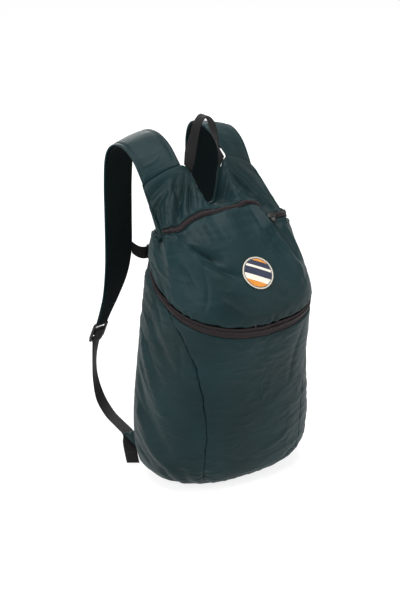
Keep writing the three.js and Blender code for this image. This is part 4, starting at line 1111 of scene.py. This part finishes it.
def rod_faces(offset, rings, sides):
    """Faces of a closed rod from rings of points, the first of them at offset."""
    faces = []
    for a in range(offset, offset + (rings - 1) * sides, sides):
        for turn in range(sides):
            after = (turn + 1) % sides
            faces.append((a + turn, a + after, a + after + sides, a + turn + sides))
    faces.append(tuple(offset + turn for turn in reversed(range(sides))))
    faces.append(tuple(offset + (rings - 1) * sides + turn for turn in range(sides)))
    return faces


def zip_coil(node, end, level_at):
    """The interlocked coil: one small rounded tooth after another, each a little aslant."""
    points, run, out, cross = zip_line(end, level_at)
    lengths = run_lengths(points)
    vertices = []
    faces = []
    for k in range(int(lengths[-1] / COIL_PITCH)):
        at = (k + 0.5) * COIL_PITCH
        j = min(np.searchsorted(lengths, at), len(points) - 1)
        middle = point_at(points, lengths, at) + out[j] * COIL_LIFT
        slant = unit(cross[j] + run[j] * 0.25)
        faces += rod_faces(len(vertices), 4, COIL_SIDES)
        for share in (-1, -0.8, 0.8, 1):
            size = COIL_RADIUS * (0.55 if abs(share) == 1 else 1)
            for turn in range(COIL_SIDES):
                a = 2 * math.pi * turn / COIL_SIDES
                away = run[j] * math.cos(a) * 0.78 + out[j] * math.sin(a)
                vertices.append(middle + slant * share * COIL_HALF_LENGTH + away * size)
    make(f"{node}_coil", vertices, faces, COIL, None)


def lower_zip():
    end = 120
    for _ in range(2):
        end = back_seam_angle(lower_zip_level(end))
    end = float(end) - 0.4
    zip_tapes("lower_zip", end, lower_zip_level, lower_zip_width)
    zip_coil("lower_zip", end - 1.5, lower_zip_level)


def upper_zip():
    end = UPPER_ZIP_END - 0.25
    zip_tapes("upper_zip", end, upper_zip_level, upper_zip_width)
    zip_coil("upper_zip", end - 2, upper_zip_level)


def moulded(node, rounding, segments=2):
    """A moulded piece: the CAD solid with its flat faces joined and its edges rounded."""
    def round_edges(edited):
        bmesh.ops.remove_doubles(edited, verts=edited.verts, dist=DOUBLED)
        bmesh.ops.dissolve_limit(edited, angle_limit=math.radians(3), verts=edited.verts, edges=edited.edges)
        sharp = [e for e in edited.edges
                 if len(e.link_faces) == 2 and e.calc_face_angle(0) > math.radians(35)]
        bmesh.ops.bevel(edited, geom=sharp, offset=rounding * MM, segments=segments, profile=0.6,
                        affect="EDGES", clamp_overlap=True)

    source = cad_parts[node]
    mesh = source.data.copy()
    mesh.transform(source.matrix_world)
    mesh.materials.clear()
    edit(mesh, round_edges)
    finish_piece(f"{node}_moulded", mesh, PLASTIC, node)
    mesh.set_sharp_from_angle(angle=math.radians(40))


# Patch


def spot_under(centre, along, up, x, y):
    """Angle and level of the skin below a spot of the patch."""
    angle = np.full(np.shape(x), float(PATCH_ANGLE))
    level = np.full(np.shape(x), float(PATCH_LEVEL))
    for _ in range(12):
        off = skin(angle, level) - centre
        angle = angle + (x - off @ along) / per_degree(angle, level)
        level = level + (y - off @ up) / per_level(angle, level)
    return angle, level


def round_patch():
    """The round patch: embroidered stripes inside an overlocked rim."""
    out = skin_normal(PATCH_ANGLE, PATCH_LEVEL)
    along = unit(skin(PATCH_ANGLE + NUDGE_ANGLE, PATCH_LEVEL) - skin(PATCH_ANGLE - NUDGE_ANGLE, PATCH_LEVEL))
    up = unit(np.cross(out, along))
    centre = cloth(PATCH_ANGLE, PATCH_LEVEL)
    radius = PATCH_RADIUS - PATCH_SHRINK
    face_radius = radius - 1.3 * PATCH_RIM

    def rings(radii, heights, turns=96):
        turn = np.linspace(0, 2 * math.pi, turns + 1)
        rows = []
        spots = []
        for away, height in zip(radii, heights):
            x, y = away * np.cos(turn), away * np.sin(turn)
            angle, level = spot_under(centre, along, up, x, y)
            rows.append(plain_cloth(angle, level, -height))
            spots.append(np.stack([x, y], axis=-1))
        return np.array(rows), np.array(spots)

    radii = (0, 5, 10, 15, 20, face_radius)
    outer, spots = rings(radii, [PATCH_FACE_TOP] * 6)
    inner, _ = rings(radii, [PATCH_FACE_UNDER] * 6)
    vertices, faces = wall(outer, inner)
    uv = np.concatenate([spots.reshape(-1, 2)] * 2)
    face = make("round_patch_face", vertices, faces, STRIPES, "round_patch", uv=uv)
    edit(face.data, weld)

    bend = np.linspace(0, 2 * math.pi, 13)
    radii = radius - PATCH_RIM + PATCH_RIM * np.cos(bend)
    heights = PATCH_RIM_MIDDLE + PATCH_RIM_RISE * np.sin(bend)
    tube, _ = rings(radii, heights, 144)
    faces = grid_faces(*tube.shape[:2])
    turn = np.linspace(0, 2 * math.pi * radius, 145)
    uv = np.stack(np.meshgrid(turn, bend * PATCH_RIM), axis=-1)[..., ::-1]
    rim = make("round_patch_rim", tube, faces, RIM, None, uv=uv)
    edit(rim.data, weld)


# Harness

# Shoulder strap: out, behind, up, width, roll and yaw of each row, counted from its root
STRAP_ROWS = np.array([
    (0.0, 0.25, 0.056, 1.0, 17, -6),
    (0.007, 0.545, 0.083, 1.0, 14, 0),
    (0.027, 0.818, 0.073, 0.97, 12, 6),
    (0.048, 0.964, 0.025, 0.94, 6, 10),
    (0.062, 1.0, -0.069, 0.91, 0, 11),
    (0.068, 1.0, -0.189, 0.89, 0, 11),
    (0.075, 1.0, -0.299, 0.875, 0, 11),
    (0.096, 1.036, -0.379, 0.766, 0, 11),
    (0.137, 1.1, -0.449, 0.563, 0, 11),
    (0.185, 1.173, -0.509, 0.406, 0, 11),
    (0.212, 1.227, -0.547, 0.344, 0, 11),
])
# Webbing from the tab up to the lock: shares of the way along, back and up, and yaw
WEBBING_ROWS = (
    (0.1, 0.26, 0.04, 4), (0.2, 0.57, 0.088, 8), (0.4, 0.87, 0.216, 16),
    (0.6, 1.04, 0.44, 36), (0.7, 1.07, 0.68, 41), (0.9, 1.04, 0.92, 28),
)
# Its free end: out, ahead and down in shares of TAIL_LENGTH, and yaw
TAIL_ROWS = ((0.167, 0.542, 0.83, -34), (0.146, 0.396, 0.56, -28), (0.083, 0.167, 0.23, -16))
FINE = 8


def plain_cloth(angle, level, depth=0.0):
    """A point of the skin with its main folds only, where the harness is sewn on."""
    angle, level = np.broadcast_arrays(np.asarray(angle, float), np.asarray(level, float))
    lift = fold_height(angle, level) - depth
    return skin(angle, level) + skin_normal(angle, level) * np.asarray(lift)[..., None]


def neck_middle(angle):
    side, ahead = np.sin(np.radians(angle)), np.cos(np.radians(angle))
    point = neck_point(side, ahead)
    point[..., 1] += neck_spread(ahead)
    return point


def width_direction(side, roll, yaw):
    flatness = np.cos(np.radians(roll))
    return np.stack([
        -side * flatness * np.cos(np.radians(yaw)),
        flatness * np.sin(np.radians(yaw)),
        np.sin(np.radians(roll)),
    ], axis=-1)


def mirrored(vectors, side):
    return vectors * np.array([side, 1, 1])


def strap_line(side, count):
    """Centres, half widths towards the inner edge and outer face directions of a strap."""
    inner = neck_middle(np.float64(STRAP_ROOT_INNER))
    outer = neck_middle(np.float64(STRAP_ROOT_OUTER))
    root = (inner + outer) / 2
    steps = STRAP_ROWS[:, :3] * (HALF_WIDTH, STRAP_REACH, BODY_HEIGHT)
    halves = width_direction(1, STRAP_ROWS[:, 4], STRAP_ROWS[:, 5]) * STRAP_ROWS[:, 3:4] * STRAP_WIDTH / 2
    centres = refine(np.concatenate([root[None], root + steps]), count)
    halves = refine(np.concatenate([(inner - outer)[None] / 2, halves]), count)
    return mirrored(centres, side), mirrored(halves, side)


def strap_root(side, columns):
    """The first row of a strap, which lies along the neckline."""
    angle = STRAP_ROOT_OUTER + (STRAP_ROOT_INNER - STRAP_ROOT_OUTER) * (np.asarray(columns) + 1) / 2
    return mirrored(neck_middle(angle) + (0, 0, ROOT_CLEARANCE), side)


STRAP_COLUMNS = np.array([1, 0.985, 0.955, 0.91, 0.87, 0.835, 0.81, 0.785, 0.74, 0.66, 0.54, 0.38, 0.2])
STRAP_COLUMNS = np.concatenate([-STRAP_COLUMNS, [0], STRAP_COLUMNS[::-1]])
STRAP_HALVES = np.array([0.55, 1.05, 1.3, 1.4, 1.42, 1.2, 0.85, 1.3, 1.95, 2.4, 2.65, 2.8, 2.85])
STRAP_HALVES = np.concatenate([STRAP_HALVES, [2.88], STRAP_HALVES[::-1]])
STITCH_COLUMN = 0.81


def strap_sheet(side):
    """Middle grid, face directions and half thicknesses of a strap."""
    centres, halves = strap_line(side, FINE)
    out = face_directions(centres, halves, side)
    blend = np.clip(1 - np.arange(len(centres)) / (FINE / 2), 0, 1)
    out = unit(out * (1 - blend)[:, None] + np.array([0, -1, 0]) * blend[:, None])
    middle = band_middle(centres, halves, STRAP_COLUMNS)
    root = strap_root(side, STRAP_COLUMNS) - middle[0]
    middle = middle + root[None] * blend[:, None, None]
    thin = 1 - 0.55 * blend[:, None]
    narrow = np.clip(np.linalg.norm(halves, axis=1)[:, None] / 24, 0.75, 1)
    along = run_lengths(centres)[:, None]
    quilt = lattice_noise(np.stack(np.broadcast_arrays(along / 26, STRAP_COLUMNS[None] * 1.7), axis=-1), 31)
    padded = np.clip((STITCH_COLUMN - np.abs(STRAP_COLUMNS)) / 0.3, 0, 1)[None]
    half = STRAP_HALVES[None] * thin * narrow + 0.35 * quilt * padded * (1 - blend[:, None])
    return centres, halves, middle, out, half


ROOT_DEPTH = 5  # how far a strap reaches down between the front and back panels


def shoulder_strap(name, side):
    centres, halves, middle, out, half = strap_sheet(side)
    outer = middle + out[:, None] * half[..., None]
    inner = middle - out[:, None] * np.minimum(half, 2.7)[..., None]
    sewn = middle[0] - (0, 0, ROOT_DEPTH)
    sewn_in = [sewn + (0, way * 0.6, 0) for way in (-1, 1)]
    low_edge = [middle[0] - (0, 0, ROOT_CLEARANCE) + (0, way * 0.7, 0) for way in (-1, 1)]
    outer = np.concatenate([[sewn_in[0], low_edge[0]], outer[1:]])
    inner = np.concatenate([[sewn_in[1], low_edge[1]], inner[1:]])
    centres, halves, out = [np.concatenate([rows[:1], rows]) for rows in (centres, halves, out)]
    strap = make_band(f"shoulder_strap_{name}_cloth", outer, inner, centres, halves, STRAP_COLUMNS, NYLON,
                      f"shoulder_strap_{name}")
    for edge in (STITCH_COLUMN, -STITCH_COLUMN):
        column = int(np.argmin(np.abs(STRAP_COLUMNS - edge)))
        stitches(f"shoulder_strap_{name}_stitch_{column}", outer[:, column], out)
    sink = STRAP_THICKNESS / 2 + 1.5 * SEAM_GAP + 0.5
    start = FINE // 2 + 1
    centres, halves, out = centres[start:], halves[start:], out[start:]
    centres = centres - out * sink
    halves = halves * (1 - STRAP_HEM / 2 / np.linalg.norm(halves, axis=1))[:, None]
    columns = np.array([-1, -0.97, -0.9, -0.6, -0.3, 0, 0.3, 0.6, 0.9, 0.97, 1])
    even_band(f"strap_lining_{name}_mesh", centres, halves, out,
              lambda across, row: 0.5 - 0.25 * (np.abs(across) > 0.98), columns, MESH,
              f"strap_lining_{name}")


def stitches(name, line, normals, length=2.8, gap=1.4, radius=0.22, sink=0.05):
    """A row of short stitches along a line on a face."""
    lengths = run_lengths(line)
    count = int(lengths[-1] / (length + gap))
    vertices = []
    faces = []
    for k in range(count):
        start = k * (length + gap) + gap / 2
        offset = len(vertices)
        for share, size, lift in ((0, 0.4, -0.15), (0.5, 1.0, 0.05), (1, 0.4, -0.15)):
            at = start + share * length
            j = min(max(int(np.searchsorted(lengths, at)), 1), len(line) - 1)
            run = unit(line[j] - line[j - 1])
            out = unit(normals[j] - run * (normals[j] @ run))
            cross = np.cross(out, run)
            spot = point_at(line, lengths, at) + out * (lift - sink)
            for way_cross, way_out in ((1, 0), (0, 1), (-1, 0), (0, -1)):
                vertices.append(spot + (cross * way_cross + out * way_out) * radius * size)
        faces += [face[::-1] for face in rod_faces(offset, 3, 4)]
    make(name, vertices, faces, THREAD, None)


def strap_end(side):
    centres, halves = strap_line(side, 2)
    return centres[-1], unit(halves[-1]), unit(centres[-1] - centres[-2])


def lock_frame(side):
    """Centre of a ladder lock and its directions across, up and out."""
    point, across, run = strap_end(side)
    up = -run
    across = across * side
    out = unit(np.cross(across, up))
    return point + run * (LOCK_HEIGHT / 2 + SEAM_GAP), across, up, out


def tab_tip(side):
    level = (TAB_LEVEL_LOW + TAB_LEVEL_HIGH) / 2
    seam = plain_cloth(back_seam_angle(level), level)
    return np.array([side * seam[0], seam[1] + TAB_REACH, seam[2] + TAB_RISE])


def webbing_line(side, count):
    """The webbing from its free tip past the tab up to the lock and round its bar."""
    centre, _, up, out = lock_frame(side)
    in_lock_half = strap_end(side)[1] * WEBBING_WIDTH / 2

    def in_lock(y, z):
        return centre + up * y + out * z

    behind = -(LOCK_THICKNESS + WEBBING_THICKNESS) / 2 - 2 * SEAM_GAP
    tip = tab_tip(side)
    top = in_lock(-LOCK_HEIGHT / 2, behind)
    centres = []
    halves = []
    for away, ahead, down, yaw in TAIL_ROWS:
        centres.append(tip + np.array([side * away, -ahead, -down]) * TAIL_LENGTH)
        halves.append(width_direction(side, 0, yaw) * WEBBING_WIDTH / 2)
    centres.append(tip)
    halves.append(width_direction(side, 0, -6) * WEBBING_WIDTH / 2)
    for along, back, rise, yaw in WEBBING_ROWS:
        centres.append(tip + (top - tip) * np.array([along, back, rise]))
        halves.append(width_direction(side, 0, yaw) * WEBBING_WIDTH / 2)
    over_bar = LOCK_BAR / 2 + 1.5 * WEBBING_THICKNESS
    for y, z in ((-LOCK_HEIGHT / 2, behind), (LOCK_BAR / 2, behind), (over_bar, behind / 2),
                 (over_bar, -behind / 2), (LOCK_BAR / 2, -behind), (-LOCK_HEIGHT / 3, -behind)):
        centres.append(in_lock(y, z))
        halves.append(in_lock_half)
    centres, halves = refine(centres, count), refine(halves, count)
    return centres, halves, face_directions(centres, halves, side)


WEBBING_COLUMNS = np.array([-1, -0.96, -0.88, -0.6, -0.3, 0, 0.3, 0.6, 0.88, 0.96, 1])


def webbing_profile(across, _):
    edge = np.abs(across)
    return WEBBING_THICKNESS / 2 * np.where(edge > 0.98, 0.45, np.where(edge > 0.92, 0.85, 1))


def lower_webbing(name, side):
    centres, halves, out = webbing_line(side, FINE)
    fold_end = 3 * FINE / 2

    def profile(across, row):
        layers = 1 + (TAIL_LAYERS - 1) * np.clip(fold_end - row, 0, 1)
        return webbing_profile(across, row) * layers

    even_band(f"lower_webbing_{name}_woven", centres, halves, out, profile, WEBBING_COLUMNS, WEBBING,
              f"lower_webbing_{name}")
    bar = int(fold_end) - 3
    line = centres[bar][None] + halves[bar][None] * np.linspace(-0.85, 0.85, 12)[:, None]
    for way in (1, -1):
        lift = way * TAIL_LAYERS * WEBBING_THICKNESS / 2
        stitches(f"lower_webbing_{name}_tip_stitch_{way + 1}", line + out[bar] * lift,
                 np.repeat(out[bar][None] * way, 12, axis=0))


def side_tab(name, side):
    """The cloth tab from the corner seam to the webbing, twisted on the way."""
    centres, halves, out = webbing_line(side, 2)
    seat = 2 * len(TAIL_ROWS)
    off = (WEBBING_THICKNESS + TAB_THICKNESS) / 2 + SEAM_GAP
    tip = centres[seat] + out[seat] * off * (1 if out[seat][2] > 0 else -1)

    def on_seam(across):
        level = TAB_LEVEL_LOW + (TAB_LEVEL_HIGH - TAB_LEVEL_LOW) * (across + 1) / 2
        return mirrored(plain_cloth(back_seam_angle(level), level, -TAB_THICKNESS), side)

    low, high = on_seam(np.float64(-1)), on_seam(np.float64(1))
    line = refine([(low + high) / 2, tip], 14)
    widths = refine([(high - low) / 2, halves[seat]], 14)
    faces_out = face_directions(line, widths, 1)
    columns = np.linspace(-1, 1, 13)
    middle = band_middle(line, widths, columns)
    blend = np.clip(1 - np.arange(len(line)) / 5, 0, 1)
    middle = middle + (on_seam(columns) - middle[0])[None] * blend[:, None, None]
    half = TAB_THICKNESS / 2 * np.where(np.abs(columns) > 0.99, 0.5, 1.0)
    crease = 0.35 * np.sin(columns * 7)[None] * (1 - blend)[:, None]
    outer = middle + faces_out[:, None] * (half + crease)[..., None]
    inner = middle - faces_out[:, None] * (half - crease)[..., None]
    make_band(f"side_tab_{name}_cloth", outer, inner, line, widths, columns, NYLON, f"side_tab_{name}")


# Legs of the grab loop: share of the way up, bulge in millimetres and twist
LOOP_LEGS = ((0.3, 3, 0.5), (0.62, 6, 0.9), (0.87, 7.5, 1))


def grab_loop():
    """The grab loop between the inner tips of the shoulders."""
    def root(way):
        low = neck_middle(np.float64(way * LOOP_ROOT_LOW))
        high = neck_middle(np.float64(way * LOOP_ROOT_HIGH))
        half = (high - low) / 2
        inward = unit(np.array([-way * half[2], 0, abs(half[0])]))
        return (low + high) / 2, half, inward

    ends = {way: root(way) for way in (-1, 1)}
    crest = np.array([0, ends[-1][0][1], ends[-1][0][2] + LOOP_HEIGHT])
    flat_half = np.array([0, WEBBING_WIDTH / 2, 0])

    def start(way):
        centre, half, inward = ends[way]
        seat = centre + inward * (2 * SEAM_GAP + WEBBING_THICKNESS / 2) + (0, FABRIC / 2 - EDGE_SPREAD, 0)
        return seat, unit(half) * WEBBING_WIDTH / 2

    def leg(way, share, bulge, twist):
        centre, half, _ = ends[way]
        spot = centre + (crest - centre) * share + (way * bulge, 0, 0)
        return spot, unit(half * (1 - twist) + flat_half * twist) * WEBBING_WIDTH / 2

    rising = [leg(-1, *row) for row in LOOP_LEGS]
    falling = [leg(1, *row) for row in reversed(LOOP_LEGS)]
    rows = [start(-1), *rising, (crest, flat_half), *falling, start(1)]
    centres = refine([row[0] for row in rows], FINE)
    halves = refine([row[1] for row in rows], FINE)
    out = face_directions(centres, halves, 1)
    even_band("grab_loop_woven", centres, halves, out, webbing_profile, WEBBING_COLUMNS, WEBBING,
               "grab_loop")


def neck_binding():
    """The bound edge over the dip of the neckline, folded over both cloths."""
    angles = np.linspace(-16, 16, 61)
    before, after = neck_middle(angles - NUDGE_ANGLE), neck_middle(angles + NUDGE_ANGLE)
    out = unit(np.cross(np.array([0.0, 1.0, 0.0]), after - before))
    out = out * np.where(out[:, 2:] < 0, -1, 1)
    centres = neck_middle(angles) + out * 1.4
    halves = np.repeat(np.array([[0, 3.5, 0]]), len(angles), axis=0)
    columns = np.linspace(-1, 1, 13)
    middle = band_middle(centres, halves, columns)
    fold = 3.4 * np.clip((np.abs(columns) - 0.72) / 0.28, 0, 1) ** 1.5
    outer = middle + out[:, None] * (0.8 - fold)[..., None]
    inner = middle + out[:, None] * (-0.8 - fold)[..., None]
    inner[..., 1] -= 0.9 * np.sign(columns) * (np.abs(columns) > 0.9)
    make_band("neck_binding_cloth", outer[:, ::-1], inner[:, ::-1], centres, halves, columns, NYLON,
              "neck_binding")


STERNUM_ROW = 7
STERNUM_SAG = 16
CLASP_LENGTH = 44


def chest_point(side):
    """Where the chest strap starts, at the inner edge of a shoulder strap."""
    centres, halves = strap_line(side, 1)
    half = halves[STERNUM_ROW]
    return centres[STERNUM_ROW] + half * (1 + 2 * SEAM_GAP / np.linalg.norm(half))


def sternum_strap(name, side):
    start, right = chest_point(side), chest_point(1)
    end = np.array([side * (CLASP_LENGTH / 2 + SEAM_GAP), right[1] + STERNUM_SAG / 4, right[2] - STERNUM_SAG])
    share = np.linspace(0, 1, 33)[:, None]
    line = start + (end - start) * share
    line[:, 2:] = start[2] + (end[2] - start[2]) * share * (2 - share)
    half = np.repeat(np.array([[0, 0, WEBBING_WIDTH / 2]]), len(line), axis=0)
    out = face_directions(line, half, 1)
    even_band(f"sternum_webbing_{name}_woven", line, half, out, webbing_profile, WEBBING_COLUMNS, WEBBING,
               f"sternum_webbing_{name}")


# The bag

front_panel()
for name, side in (("left", -1), ("right", 1)):
    side_panel(name, side)
    shoulder_strap(name, side)
    lower_webbing(name, side)
    side_tab(name, side)
    sternum_strap(name, side)
    moulded(f"ladder_lock_{name}", rounding=0.6)
upper_front_panel()
back_panel()
base_panel()
lower_zip()
upper_zip()
moulded("lower_zip_slider", rounding=0.35)
moulded("upper_zip_slider", rounding=0.35)
moulded("sternum_clasp", rounding=1.0, segments=3)
round_patch()
neck_binding()
grab_loop()


# Studio

TARGET = Vector((0, 0.020, 0.245))
AZIMUTH = -35
ELEVATION = 22
DISTANCE = 2.4
LENS = 93.2
ROOM_LIGHT = 0.5  # of the white that the camera sees behind the bag


def studio_camera():
    azimuth, elevation = math.radians(AZIMUTH), math.radians(ELEVATION)
    back = Vector((math.sin(azimuth) * math.cos(elevation), -math.cos(azimuth) * math.cos(elevation),
                   math.sin(elevation)))
    data = bpy.data.cameras.new("studio_camera")
    data.lens = LENS
    data.sensor_width = 36
    data.shift_x = -13 / 600
    data.shift_y = 13.5 / 600
    camera = add_object("studio_camera", data)
    camera.location = TARGET + back * DISTANCE
    camera.rotation_mode = "QUATERNION"
    camera.rotation_quaternion = (-back).to_track_quat("-Z", "Y")
    bpy.context.scene.camera = camera


def softbox(name, location, size, power):
    data = bpy.data.lights.new(name, "AREA")
    data.shape = "RECTANGLE"
    data.size, data.size_y = size
    data.energy = power
    light = add_object(name, data)
    light.location = location
    light.rotation_mode = "QUATERNION"
    light.rotation_quaternion = (TARGET - Vector(location)).to_track_quat("-Z", "Y")


def studio():
    world = bpy.data.worlds.new("studio_white")
    world.use_nodes = True
    tree = world.node_tree
    seen = add(tree, "LightPath").outputs["Is Camera Ray"]
    tree.nodes["Background"].inputs["Color"].default_value = (1, 1, 1, 1)
    add(tree, "Math", {"operation": "MULTIPLY_ADD"}, {0: seen, 1: 1 - ROOM_LIGHT, 2: ROOM_LIGHT},
        to=tree.nodes["Background"].inputs["Strength"])
    bpy.context.scene.world = world
    bpy.context.scene.view_settings.view_transform = "Standard"
    material, tree, shader = new_material("white_floor", roughness=0.9, specular=0.1)
    shader.inputs["Base Color"].default_value = (0.3, 0.3, 0.3, 1)
    shader.inputs["Emission Color"].default_value = (1, 1, 1, 1)
    shader.inputs["Emission Strength"].default_value = 0.8
    mesh = bpy.data.meshes.new("floor")
    reach, height = 6.0, -0.0005
    corners = [(-reach, -reach), (reach, -reach), (reach, reach), (-reach, reach)]
    mesh.from_pydata([(x, y, height) for x, y in corners], [], [(0, 1, 2, 3)])
    mesh.materials.append(material)
    floor = add_object("floor", mesh)
    softbox("left_softbox", (-2.2, -0.3, 1.3), (0.8, 1.6), 32)
    softbox("right_softbox", (1.5, -1.9, 1.2), (0.8, 1.6), 22)
    softbox("back_softbox", (0.9, 2.3, 1.5), (1.2, 1.6), 34)
    softbox("top_softbox", (-0.3, -0.2, 2.7), (1.6, 1.6), 56)


studio_camera()
studio()
